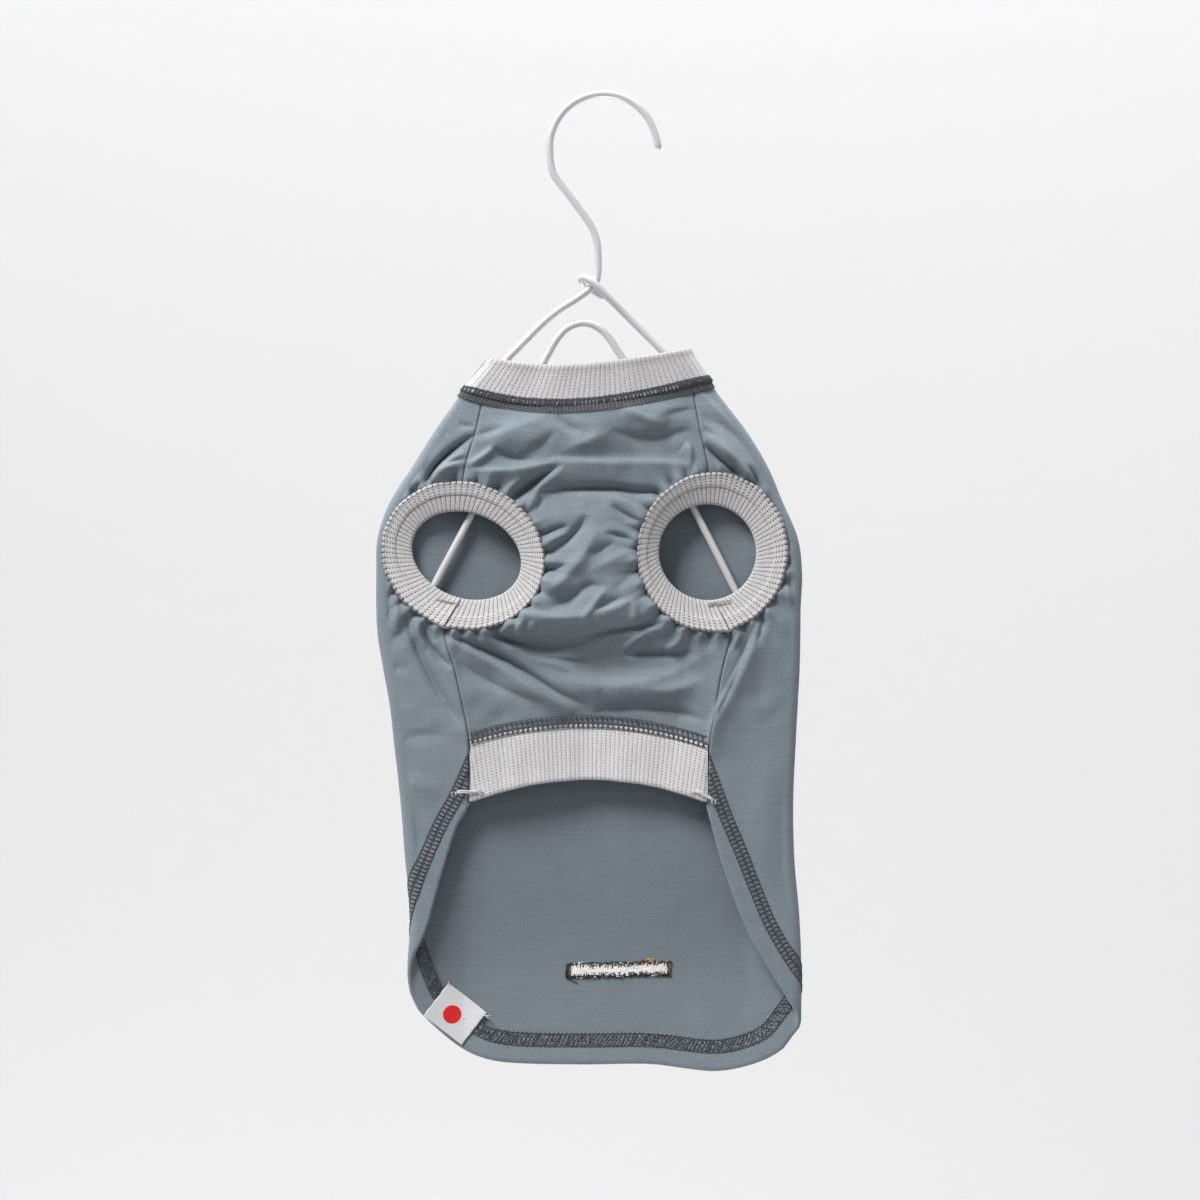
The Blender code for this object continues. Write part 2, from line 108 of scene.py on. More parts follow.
def noise(tree, scale, detail, where=None):
    """Soft noise, from about 0.3 to 0.7, in the piece's own space or another one."""
    where = where or add_node(tree, "TexCoord").outputs["Object"]
    return add_node(tree, "TexNoise", {"Vector": where, "Scale": scale,
                                       "Detail": detail}).outputs["Fac"]


def plaster_finish():
    plaster, tree, shader = principled("pale plaster", (0.42, 0.42, 0.424), 0.9)
    raise_surface(tree, shader, noise(tree, 60, 6), 0.15, 0.002)
    return plaster


def make_room():
    """A round room with a coved floor, open at the top; its sizes are in metres."""
    radius, floor_level, cove, height = 1.7, -2.1, 0.6, 3.0
    cove_steps = 12
    shell = bmesh.new()
    profile = [shell.verts.new((0, 0, floor_level))]
    for step in range(cove_steps + 1):
        turn = math.radians(90 * step / cove_steps)
        profile.append(shell.verts.new((radius - cove + cove * math.sin(turn), 0,
                                        floor_level + cove - cove * math.cos(turn))))
    profile.append(shell.verts.new((radius, 0, floor_level + height)))
    edges = [shell.edges.new(pair) for pair in zip(profile, profile[1:])]
    bmesh.ops.spin(shell, geom=profile + edges, cent=(0, 0, 0), axis=(0, 0, 1),
                   angle=math.tau, steps=96, use_merge=True)
    bmesh.ops.remove_doubles(shell, verts=shell.verts, dist=1e-5)
    bmesh.ops.recalc_face_normals(shell, faces=shell.faces)
    bmesh.ops.reverse_faces(shell, faces=shell.faces)
    mesh = bpy.data.meshes.new("round_room")
    shell.to_mesh(mesh)
    shell.free()
    mesh.shade_smooth()
    mesh.materials.append(plaster_finish())
    room = into_scene("round_room", mesh)


def soft_light(name, place, aim, size, power):
    """A round soft lamp; place, aim and size are in metres, power in watts."""
    lamp = bpy.data.lights.new(name, "AREA")
    lamp.shape = "DISK"
    lamp.size = size
    lamp.energy = power
    light = into_scene(name, lamp)
    light.location = place
    light.rotation_euler = (Vector(aim) - Vector(place)).to_track_quat("-Z", "Y").to_euler()


make_room()
soft_light("window", (-1.62, -1.7, 2.6), (0, 0, -0.3), 1.6, 172.0)
soft_light("wall_light_left", (-0.6, 0.3, 2.1), (-0.55, 1.7, -1.1), 1.0, 48.0)
soft_light("wall_light_right", (0.6, 0.3, 2.1), (0.5, 1.7, -1.1), 1.0, 46.0)
soft_light("wall_light_low", (-0.25, 0.4, -1.7), (-0.2, 1.7, -0.5), 1.2, 28.0)
world = bpy.data.worlds.new("room light")
world.use_nodes = True
world.node_tree.nodes["Background"].inputs["Color"].default_value = (0.93, 0.96, 1.0, 1)
world.node_tree.nodes["Background"].inputs["Strength"].default_value = 0.03
bpy.context.scene.world = world


# === The wire hanger ==========================================================================
# One length of 3.2 mm steel wire with a satin off-white paint. It is bent into a hook, two
# arms and an inner loop, and its end is hitched round the stem. The shirt hangs on its arms.

WIRE = 3.2               # diameter of the painted wire
HOOK_RADIUS = 22.5       # from the hook's centre to the middle of the wire
BEND_STEP = 1.6

HOOK = [(23.5, 0, -21.8)] + [
    (HOOK_RADIUS * math.cos(math.radians(turn)), 0,
     WIRE / 2 - HOOK_RADIUS + HOOK_RADIUS * math.sin(math.radians(turn)))
    for turn in range(18, 181, 18)]
STEM = [(-21.4, 0, -30.7), (-18.6, 0, -35.4), (-14.9, 0, -40.2), (-11.0, 0, -45.3),
        (-7.4, 0, -50.3), (-4.5, 0, -55.0), (-2.7, 0, -60.0), (-2.1, 0, -66.0),
        (-2.1, 0, -71.5), (-2.8, 0, -76.5), (-5.6, 0, -80.3)]
LEFT_ARM = [(-11.4, 0, -84.6), (-18.6, 0, -89.2), (-25.4, 0, -94.7), (-32.1, 0, -101.4),
            (-40.2, 0, -109.6), (-45.8, 0, -116.2), (-52.2, 0, -123.0), (-59.3, 0, -130.6),
            (-65.9, 0, -139.4), (-73.4, 0, -150.4), (-79.0, 0, -160.5), (-83.6, 0, -171.0),
            (-86.0, 0, -181.5), (-86.6, 0, -193.0), (-86.5, 0, -205.0), (-85.8, 0, -213.5),
            (-82.0, 0, -219.4), (-77.0, 0, -216.4), (-71.2, 0, -205.2), (-63.2, 0, -190.2),
            (-55.3, 0, -175.2), (-45.2, 0, -154.0), (-35.0, 0, -132.5)]
INNER_LOOP = [(-25.6, 0, -112.5), (-22.8, 0, -107.0), (-19.3, 0, -101.2), (-14.8, 0, -96.6),
              (-8.4, 0, -94.6), (-2.0, 0, -96.6), (2.9, 0, -101.4), (6.2, 0, -106.6),
              (8.6, 0, -110.4)]
RIGHT_ARM = [(17.0, 0, -129.0), (27.6, 0, -151.5), (38.2, 0, -172.9), (47.2, 0, -190.4),
             (56.0, 0, -207.8), (61.5, 0, -217.2), (67.4, 0, -221.4), (73.2, 0, -216.0),
             (75.0, 0, -206.0), (75.0, 0, -193.0), (73.4, 0, -181.0), (70.8, 0, -170.0),
             (67.8, 0, -161.0), (62.0, 0, -148.6), (55.9, 0, -140.0), (48.4, 0, -131.0),
             (40.6, 0, -122.2), (33.0, 0, -114.4), (25.4, 0, -106.8), (15.5, 0, -97.0),
             (8.5, -0.8, -90.2)]
HITCH = [(2.2, -2.7, -84.2), (-3.2, -3.8, -79.0), (-7.2, -2.8, -76.0), (-9.2, 0.2, -76.2),
         (-8.2, 2.9, -77.8), (-4.0, 3.9, -80.8), (1.8, 3.2, -84.4)]


def bent_line(bends, step):
    """Points at about an even step on one smooth curve through the bends."""
    points = [Vector(bend) for bend in bends]
    padded = [points[0]] + points + [points[-1]]
    line = []
    for before, start, end, after in zip(padded, padded[1:], padded[2:], padded[3:]):
        count = max(round((end - start).length / step), 1)
        for share in (number / count for number in range(count)):
            line.append(0.5 * (2 * start + (end - before) * share
                               + (2 * before - 5 * start + 4 * end - after) * share ** 2
                               + (3 * start - before - 3 * end + after) * share ** 3))
    line.append(points[-1])
    return line


def joined_threads(name, lines, radius, roundness, finish, tips=()):
    """Round threads or wires along many lines, as one mesh. tips narrows their two ends."""
    curve = bpy.data.curves.new(name, "CURVE")
    curve.dimensions = "3D"
    curve.bevel_depth = radius * MM
    curve.bevel_resolution = roundness
    curve.use_fill_caps = True
    for line in lines:
        spline = curve.splines.new("POLY")
        spline.points.add(len(line) - 1)
        flat = np.ones((len(line), 4))
        flat[:, :3] = np.array([tuple(point) for point in line]) * MM
        spline.points.foreach_set("co", flat.ravel())
        for place, size in tips:
            spline.points[place].radius = size
    holder = into_scene(name, curve)
    mesh = bpy.data.meshes.new_from_object(holder.evaluated_get(
        bpy.context.evaluated_depsgraph_get()))
    bpy.data.objects.remove(holder)
    welded = bmesh.new()
    welded.from_mesh(mesh)
    bmesh.ops.remove_doubles(welded, verts=welded.verts, dist=1e-6)
    bmesh.ops.recalc_face_normals(welded, faces=welded.faces)
    welded.to_mesh(mesh)
    welded.free()
    mesh.name = name
    mesh.shade_smooth()
    mesh.materials.clear()
    mesh.materials.append(finish)
    return into_scene(name, mesh)


def fitted(tree, value, low, high, to_low, to_high, **settings):
    """A value of a shader tree, taken from one range to another."""
    return add_node(tree, "MapRange", {
        "Value": value, "From Min": low, "From Max": high, "To Min": to_low,
        "To Max": to_high}, **settings).outputs["Result"]


def hanger_paint():
    paint, tree, shader = principled("pearl white paint", (0.76, 0.76, 0.765), 0.34, {
        "Metallic": 0.3, "Coat Weight": 0.3, "Coat Roughness": 0.25})
    speckle = noise(tree, 900, 3)
    tree.links.new(fitted(tree, speckle, 0, 1, 0.26, 0.44), shader.inputs["Roughness"])
    raise_surface(tree, shader, speckle, 0.03, 0.0002)
    return paint


def hang_up_the_hanger():
    route = bent_line(HOOK + STEM + LEFT_ARM + INNER_LOOP + RIGHT_ARM + HITCH, BEND_STEP)
    rounded_ends = ((0, 0.45), (1, 0.92), (-1, 0.45), (-2, 0.92))
    wire = joined_threads("hanger", [route], WIRE / 2, 8, hanger_paint(), rounded_ends)
    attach(wire, "root")
    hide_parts("wire_hanger")


hang_up_the_hanger()


# === The cut of the shirt =====================================================================
# The hanging shirt is a flattened tube. These tables give its outline, its side seams and its
# curved edges, and shirt_point() finds any point of the cloth from the distance round the
# shirt, measured from the middle of the back, and the height.

JERSEY = 0.8             # thickness of the single jersey
FOLD_REACH = 4.5         # half width and half depth of the round side folds
FOLD_DEPTH = 2.8
FOLD_TURN = 11.6         # the way round a side fold, along the cloth
BACK_MIDDLE = -6.0       # x of the back's middle, from which the way round is measured
BACK_BOW = 1.5           # how far the back bows out beyond its folds
OUTLINE_INSET = 0.6      # from the outline to the middle of the cloth

Section = namedtuple("Section", "z left_fold left_seam right_seam right_fold bow")
BODY = [Section(*row) for row in (
    (-105, -47.0, -46.0, 34.0, 36.5, 3.5),
    (-118, -55.5, -48.5, 36.5, 44.0, 4.0),
    (-125, -60.3, -50.0, 37.8, 48.8, 4.5),
    (-140, -70.9, -53.2, 40.5, 60.3, 6.0),
    (-155, -80.3, -57.6, 43.9, 69.3, 7.0),
    (-170, -89.8, -59.5, 46.5, 75.7, 7.5),
    (-185, -94.9, -61.0, 48.8, 82.0, 8.0),
    (-200, -95.5, -63.0, 51.0, 83.8, 8.0),
    (-215, -95.5, -65.3, 52.8, 83.2, 7.5),
    (-226, -94.9, -66.3, 53.2, 83.1, 7.0),
    (-240, -92.6, -62.3, 49.8, 82.8, 6.5),
    (-255, -89.9, -58.9, 47.2, 82.0, 6.0),
    (-270, -88.2, -56.2, 44.4, 81.2, 5.0),
    (-295, -85.4, -56.2, 43.8, 80.1, 4.0),
    (-320, -83.4, -56.2, 43.8, 80.6, 3.0),
    (-343, -81.2, -56.2, 43.8, 82.6, 2.5),
    (-365, -82.4, -56.2, 43.8, 83.5, 2.0),
    (-390, -81.8, -56.2, 43.8, 83.4, 2.0),
    (-410, -81.5, -56.2, 43.8, 83.0, 2.0),
)]

# Height of the hem over each flap and round each side fold, at shares of the way from the
# seam to the fold and from there to the back, and then across the back.
SideHem = namedtuple("SideHem", "share left_z right_z")
FLAP_HEM = [SideHem(*row) for row in (
    (0.00, -295.5, -296.0),
    (0.12, -300.5, -310.0),
    (0.25, -305.5, -324.5),
    (0.50, -321.5, -348.5),
    (0.75, -336.5, -364.5),
    (1.00, -353.0, -378.5),
)]
FOLD_HEM = [SideHem(*row) for row in (
    (0.00, -353.0, -378.5),
    (0.25, -360.0, -383.0),
    (0.50, -368.5, -387.5),
    (0.75, -377.0, -391.3),
    (1.00, -383.0, -394.5),
)]
BackHem = namedtuple("BackHem", "x z")
BACK_HEM = [BackHem(*row) for row in (
    (-77.5, -383.0), (-70.0, -390.5), (-60.0, -398.8), (-50.0, -403.4), (-38.0, -405.3),
    (-10.0, -406.0), (20.0, -405.8), (35.0, -407.6), (47.0, -408.7), (58.0, -407.2),
    (68.0, -403.8), (75.0, -399.5), (79.5, -394.5),
)]

# A curved edge between two corners: how far it sags in its middle, and its lean to one side.
Edge = namedtuple("Edge", "left_x left_z right_x right_z sag lean")
NECK_SEAM = Edge(-58.8, -123.4, 44.8, -119.4, 8.5, 0.25)
NECK_SEAM_BACK = Edge(-58.8, -123.4, 44.8, -119.4, 2.5, 0.0)
BELLY_SEAM = Edge(-56.2, -269.3, 44.0, -271.0, -8.0, 0.0)
COLLAR_TOP = Edge(-47.5, -110.2, 36.6, -106.6, 4.8, 0.4)
COLLAR_TOP_BACK = Edge(-47.5, -110.2, 36.6, -106.6, 6.5, 0.3)
BELLY_RIB_EDGE = Edge(-56.2, -295.0, 43.8, -295.0, -9.8, 0.0)

# Each leg ring is an ellipse with an elliptic hole. Its tilt, and where its joint lies on its
# outer edge and at its hole, are in degrees.
Ring = namedtuple("Ring", "name x z half_width half_height tilt "
                  "hole_x hole_z hole_half_width hole_half_height joint hole_joint wales")
RINGS = (
    Ring("leg_rib_left", -58.6, -192.4, 35.0, 30.7, -20, -57.2, -192.4, 23.4, 17.6,
         -104.8, -96.8, 82),
    Ring("leg_rib_right", 45.9, -191.0, 31.8, 33.6, -11, 43.7, -191.0, 20.3, 19.9,
         -78.3, -82.6, 83),
)


def along(table, key, column, at):
    """Read a column of a table at any values of its key, on one smooth curve."""
    keys = np.array([getattr(row, key) for row in table], float)
    values = np.array([getattr(row, column) for row in table], float)
    order = np.argsort(keys)
    keys, values = keys[order], values[order]
    slopes = np.gradient(values, keys)
    slopes[1:-1] = (values[2:] - values[:-2]) / (keys[2:] - keys[:-2])
    at = np.clip(at, keys[0], keys[-1])
    left = np.clip(np.searchsorted(keys, at) - 1, 0, len(keys) - 2)
    span = keys[left + 1] - keys[left]
    share = (at - keys[left]) / span
    ease = share * share * (3 - 2 * share)
    return (values[left] + (values[left + 1] - values[left]) * ease
            + slopes[left] * span * share * (1 - share) ** 2
            - slopes[left + 1] * span * share * share * (1 - share))


def edge_z(edge, x):
    """Height of a curved edge at x."""
    share = (x - edge.left_x) / (edge.right_x - edge.left_x)
    across = np.clip(2 * share - 1, -1, 1)
    sag = edge.sag * (1 - across * across) * (1 - edge.lean * across)
    return edge.left_z + (edge.right_z - edge.left_z) * share - sag


def fold_centres(z):
    """Middles of the left and the right side fold, where the flat cloth begins."""
    inset = OUTLINE_INSET + FOLD_REACH
    return along(BODY, "z", "left_fold", z) + inset, along(BODY, "z", "right_fold", z) - inset


def side_seams(z):
    """x of the left and the right side seam."""
    return along(BODY, "z", "left_seam", z), along(BODY, "z", "right_seam", z)


def half_depth(x, z, bow):
    """Half depth of the smooth tube at x: a round fold at each side, bowed between them."""
    left, right = fold_centres(z)
    past = np.maximum(np.maximum(left - x, x - right), 0) / FOLD_REACH
    share = np.clip((x - left) / (right - left), 0, 1)
    fold = FOLD_DEPTH * np.sqrt(np.maximum(1 - past * past, 0))
    return np.where(past > 0, fold, FOLD_DEPTH + bow * np.sin(np.pi * share) ** 0.9)


def ring_frame(x, z, ring):
    """A point in a ring's own frame: its turn round the ring, and its distance outside it."""
    tilt = math.radians(ring.tilt)
    wide = (x - ring.x) * math.cos(tilt) + (z - ring.z) * math.sin(tilt)
    high = -(x - ring.x) * math.sin(tilt) + (z - ring.z) * math.cos(tilt)
    reach = np.hypot(wide / ring.half_width, high / ring.half_height)
    turn = np.degrees(np.arctan2(high, wide)) + ring.tilt
    mean = math.sqrt(ring.half_width * ring.half_height)
    return turn, (reach - 1) * mean


# How far the belly panel billows out beyond the even tube, or falls back, at its left and
# right quarter and its middle. It is slack between the rings and drawn in towards the rib.
Billow = namedtuple("Billow", "z left middle right")
BELLY_BILLOW = [Billow(*row) for row in (
    (-112, 0.0, 0.0, 0.0),
    (-127, 0.2, 0.6, 0.8),
    (-132, 0.8, 1.5, 1.8),
    (-138, 1.8, 2.1, 0.4),
    (-144, 2.4, 1.7, -1.8),
    (-151, 0.4, -0.8, -3.2),
    (-158, 0.3, -0.2, -1.8),
    (-166, -1.8, -1.8, -1.8),
    (-171, -0.8, -0.8, -0.6),
    (-178, 0.4, 0.8, 0.8),
    (-200, 1.6, 1.6, 1.4),
    (-212, 2.4, 3.0, 2.0),
    (-219, 3.0, 3.6, 1.4),
    (-229, -3.0, -2.6, -2.4),
    (-239, -4.6, -7.0, -5.0),
    (-249, -2.6, -3.8, -3.2),
    (-260, -3.2, -6.2, -5.4),
    (-272, -2.0, -4.8, -4.0),
    (-300, 0.0, -1.0, -1.0),
)]

# Creases of the belly side. Each is a curve drawn from its start to its end by a point that
# pulls its middle; above and below are its half widths on its two sides, and crest is its
# height, or its depth below zero. A ridge that is narrow above and wide below hangs over.
Crease = namedtuple("Crease", "x z mid_x mid_z to_x to_z above below crest")
BELLY_CREASES = [Crease(*row) for row in (
    # the panel under the collar
    (-54, -143, -38, -143, -19, -131, 4.0, 5.0, 1.5),
    (-53.5, -142.5, -48, -141, -41, -139, 1.8, 1.8, -1.6),
    (-19.5, -133.5, -15, -139, -9, -141, 1.6, 2.0, -1.2),
    (-36, -152.5, -24, -146, -19, -140, 2.0, 3.4, -1.4),
    (-20, -150, -8, -146, 2, -141, 2.6, 4.0, 1.3),
    (3, -140, 18, -146.5, 38, -139, 1.6, 3.0, -1.9),
    (8, -131, 18, -136, 27, -138, 2.4, 3.0, 1.4),
    (24, -134.5, 32, -131.5, 39, -131.5, 1.2, 2.4, -1.0),
    (-47, -146.5, -40, -153.5, -28, -152.3, 1.6, 2.0, -2.2),
    # the first ridge across
    (-56, -156.5, -40, -158.5, -15.5, -152.4, 1.0, 4.0, 2.8),
    (-22, -153.2, -6, -154.3, 12, -153.4, 1.3, 3.2, 2.0),
    (2, -154.2, 20, -152.6, 37, -154.6, 1.3, 3.2, 2.0),
    (-57, -155, -50, -152, -44.2, -145.8, 1.2, 1.8, 2.6),
    (34.2, -145.5, 37.5, -147, 36, -157, 1.0, 3.2, 1.9),
    # the slanting tuck and the cross tuck below it
    (-38, -169.5, -30.5, -163, -17, -154.6, 2.4, 1.3, -5.0),
    (-30.8, -177, -31, -163, -15.5, -155.2, 1.0, 3.0, 2.4),
    (-43, -168, -38, -163, -33, -159.5, 1.0, 1.6, 1.1),
    (-28, -165.7, 0, -162.8, 26, -166.6, 1.6, 1.5, -4.2),
    (6, -166.2, 16, -166.6, 27, -165.8, 1.2, 1.6, -1.8),
    (-27, -174, -26.6, -170, -25, -168, 1.2, 1.2, -1.0),
    (0, -167.6, 9, -167.6, 19, -177, 1.1, 3.4, 2.0),
    (3.5, -171, 9, -176, 17, -178.6, 1.0, 1.4, -2.4),
    (9, -178, 13, -181, 18, -181.5, 1.2, 1.4, 1.2),
    # between the rings
    (-26.5, -186, -23, -181, -14, -180.2, 1.0, 1.3, -2.6),
    (-26, -188, -20, -184.8, -14, -183.2, 1.0, 1.2, 1.2),
    (-27, -192, -11, -187, -7, -175.5, 1.9, 1.9, -3.8),
    (-27, -210, -11, -201, -2, -180.5, 2.8, 3.4, 2.8),
    (-26, -199.5, -22, -197.8, -15, -196.4, 0.9, 1.2, -2.2),
    (0.5, -183.2, 7, -183.4, 15.5, -187.6, 1.0, 2.0, -2.8),
    (-7, -192, -3, -191.5, 6, -186, 1.4, 2.4, -1.8),
    (-7, -200, 4, -194, 15, -188.5, 1.8, 2.6, 1.2),
    (4, -208.5, 9, -202, 16, -199, 2.2, 2.4, -1.3),
    (-24, -215.5, -12, -211, -3, -202.5, 2.8, 2.4, -3.4),
    (-10, -206, -5, -204.3, 1.5, -206, 1.6, 1.8, -1.6),
    (-9, -220, -5, -214, 1.5, -205.5, 1.3, 1.5, 2.6),
    (-31, -216.6, -20, -219.8, -5, -217.4, 2.0, 2.2, 2.2),
    (-3, -214.5, 2, -213, 9, -209.5, 1.8, 1.0, -1.8),
    (-6, -217, 4, -216, 18.5, -207.6, 1.5, 3.4, 2.1),
    (12.4, -211, 13.6, -215, 13.6, -220.5, 1.0, 1.2, 1.3),
    # the deep fold under them
    (-46, -224, -28, -238, 0, -224.2, 2.4, 3.0, -3.8),
    (-46.5, -224.5, -41, -228.5, -30, -229.8, 1.4, 1.4, -3.4),
    (-8, -225.8, 6, -222.8, 27.5, -220.4, 1.4, 1.5, -3.6),
    (-43.5, -226, -41, -223, -39, -220.5, 1.4, 1.2, 1.8),
    (-36.5, -227, -34.5, -222, -33.5, -217.5, 1.4, 1.4, 2.2),
    (-31.5, -226.5, -30, -222.5, -29, -219.5, 1.1, 1.3, 1.4),
    (-37, -231.5, -22, -236, -4, -238, 1.0, 1.4, -1.5),
    (9, -232, 12.5, -226.5, 26, -221, 1.3, 1.5, 1.9),
    (8, -233.6, 20, -233.4, 38, -233.4, 1.2, 1.2, -2.6),
    (25, -232, 30.5, -231, 33.5, -225, 1.4, 1.6, 1.6),
    (17, -236, 22, -235, 30, -235.4, 0.9, 0.9, -0.9),
    # the long sagging ridge and the folds beside it
    (-64, -224.8, -15, -234.5, 0, -248.6, 2.2, 3.0, 2.2),
    (-34, -236, 12, -262, 52, -226.5, 4.2, 5.4, 2.3),
    (-66, -226, -44, -232, -18, -250.5, 1.3, 1.4, -3.6),
    (-40, -238, -22, -250, -4, -256, 2.0, 2.6, -2.0),
    (-68, -226, -40, -240, -12, -258.5, 1.8, 4.0, 2.6),
    (-61, -236.5, -48, -247, -24, -255.5, 2.2, 3.0, -1.6),
    (-6, -258.2, 22, -252.6, 45, -262.6, 1.9, 1.8, -1.9),
    (14, -247, 26, -252.5, 44, -243, 2.4, 3.0, 1.4),
    # the left shoulder
    (-75, -163.5, -70.5, -151, -52.5, -141.2, 1.2, 1.3, -5.4),
    (-74, -166, -69.5, -153.5, -56.5, -149.0, 0.9, 3.0, 2.6),
    (-68, -156.5, -64, -152.2, -56, -151.6, 0.8, 0.8, -1.0),
    (-69, -158.5, -66, -154.5, -57, -153.8, 0.9, 2.0, 1.8),
    (-61, -137.2, -57, -138.5, -53, -138.3, 0.9, 1.0, -0.9),
    (-86.5, -171.5, -83.5, -166, -82.8, -158.5, 1.0, 1.1, -2.6),
    (-84, -170, -81.2, -164, -79, -158, 1.4, 1.4, 1.4),
    (-82, -169, -78.6, -164.6, -75.8, -161.6, 1.0, 1.2, -1.8),
    # the right shoulder
    (46, -121, 49, -140, 54, -160, 15.0, 6.0, 3.0),
    (41, -136, 54, -135, 66, -156, 4.5, 3.4, -2.4),
    (41.5, -139.2, 44, -140.6, 47, -142.4, 0.8, 0.9, -0.9),
    (41.5, -142.6, 57, -150.5, 68, -168.5, 2.6, 1.4, 1.9),
    (42.2, -145.8, 50.5, -154.5, 63, -163, 1.1, 1.2, -5.0),
    (60, -154.6, 65, -160, 68.5, -169, 0.9, 1.0, -2.4),
    (66.5, -157.5, 70.5, -164, 71, -173.5, 1.3, 1.3, 1.4),
    (70.2, -161.5, 72.4, -167.5, 72, -174, 0.9, 0.9, -1.8),
    (73, -165, 75.5, -171, 76.3, -178, 1.3, 1.5, 1.2),
    # the left flap
    (-91.5, -197, -92.5, -209, -90, -224, 1.8, 2.2, -1.2),
    (-87, -208, -86.8, -216, -86, -226, 1.4, 2.0, 1.5),
    (-84.2, -212.5, -77.5, -240, -59, -264, 1.8, 1.5, -3.2),
    (-79.5, -216.5, -76, -226, -74.5, -232, 1.0, 1.2, 1.8),
    (-76.6, -218.5, -73.5, -232, -63, -239.5, 1.4, 1.3, -3.4),
    (-72.6, -221.5, -71.8, -226, -70, -229, 0.9, 0.9, -1.6),
    (-96, -239.5, -89, -238.8, -80, -239.6, 1.6, 2.0, -0.7),
    (-88, -270, -76, -266.5, -64, -268, 2.2, 2.6, -0.8),
    (-90, -284, -78, -287, -68, -293, 4.0, 4.0, 0.9),
    (-86, -300, -80, -306, -72, -318, 4.0, 5.0, -0.7),
    # the right flap, which hangs over the seam
    (43.6, -278, 45, -257, 52, -249, 0.8, 6.0, 2.4),
    (46, -259, 59, -238, 67.5, -214.5, 0.8, 5.0, 3.0),
    (45.5, -262, 58, -241, 65.5, -217, 1.3, 0.8, -2.2),
    (67.2, -215.5, 66.2, -222, 64, -230, 1.0, 1.4, -2.0),
    (54, -231, 56, -228, 57.4, -224, 1.0, 1.0, 1.2),
    (52.6, -232, 54, -228, 54.4, -225, 0.8, 0.8, -1.2),
    (75.2, -202.5, 80, -212, 83.5, -225, 1.5, 1.2, 2.4),
    (76.6, -200, 82, -209, 84.5, -219, 1.2, 1.4, -2.6),
    (70, -272, 64, -300, 72, -332, 7.0, 7.0, 0.9),
    (78, -285, 76, -310, 79, -345, 4.0, 4.0, -0.8),
)]

# Wide and shallow waves of the hanging back. It swings outwards a little above its hem.
BACK_SWING = 4.6
BACK_SWING_Z = -366
BACK_CREASES = [Crease(*row) for row in (
    (-60, -140, -40, -170, -35, -215, 9.0, 9.0, 0.8),
    (40, -140, 30, -175, 26, -225, 9.0, 10.0, 0.7),
    (-70, -230, -62, -280, -66, -340, 10.0, 8.0, -0.8),
    (-20, -240, -16, -300, -24, -372, 11.0, 12.0, 0.5),
    (62, -220, 56, -280, 64, -350, 8.0, 10.0, -0.7),
    (22, -300, 26, -340, 18, -392, 10.0, 9.0, -0.4),
    (-80, -160, -70, -180, -72, -215, 5.0, 5.0, -0.6),
    (70, -170, 64, -190, 68, -220, 5.0, 5.0, -0.5),
)]

# Gathers of the jersey where it is eased onto each leg ring: turn in degrees round the ring,
# half width at the ring, reach away from it, and height, which these two then scale.
GATHER_WIDTH = 0.9
GATHER_DEPTH = 2.5
LONG_GATHER = 0.38       # how much of a gather's height runs out over its whole reach
SHORT_REACH = 2.3
Gather = namedtuple("Gather", "turn width reach lift")
LEFT_GATHERS = [Gather(*row) for row in (
    (2, 1.5, 7, -1.2), (7, 2.0, 10, 0.8), (-4, 1.8, 12, 0.9), (-10, 1.7, 10, -1.3),
    (-17, 2.3, 14, 1.0), (-25, 1.8, 9, -1.3), (-31, 2.0, 11, 0.9), (-37, 1.6, 8, -1.2),
    (-43, 1.8, 9, 0.9), (-49, 1.5, 8, -1.2), (-55, 1.6, 9, 0.9), (-61, 1.7, 8, -1.0),
    (-67, 2.0, 12, -1.5), (-74, 1.7, 8, 0.9), (-80, 1.2, 6, -1.0), (-85, 1.2, 6, 0.7),
    (-91, 1.3, 7, -1.1), (-97, 1.4, 10, 0.8), (-103, 1.6, 9, -1.2), (-110, 1.5, 11, 0.7),
    (-116, 1.4, 10, -1.0), (-122, 1.5, 12, 0.8), (-129, 1.7, 16, -1.4), (-136, 1.6, 12, 0.8),
    (-143, 1.5, 12, -1.1), (-151, 1.5, 9, -1.1), (-159, 1.6, 8, 0.8), (-167, 1.3, 6, -0.9),
    (-176, 1.3, 4, 0.6), (175, 1.3, 4, -0.7), (166, 1.4, 4, 0.6), (157, 1.3, 5, -0.8),
    (149, 1.4, 6, 0.7), (142, 1.4, 10, -1.2), (135, 1.5, 10, 0.8), (128, 1.4, 8, -1.1),
    (121, 1.5, 8, 0.7), (113, 1.5, 9, -1.1), (104, 1.6, 8, 0.7), (96, 1.4, 7, -0.8),
    (87, 1.6, 9, 0.7), (79, 1.5, 8, -1.0), (71, 1.7, 9, 0.8), (63, 1.6, 8, -1.2),
    (55, 1.6, 9, 0.9), (48, 1.5, 8, -1.2), (41, 1.6, 8, 0.8), (33, 1.7, 7, -1.0),
    (24, 1.6, 8, 0.7), (15, 1.6, 8, -1.1),
)]
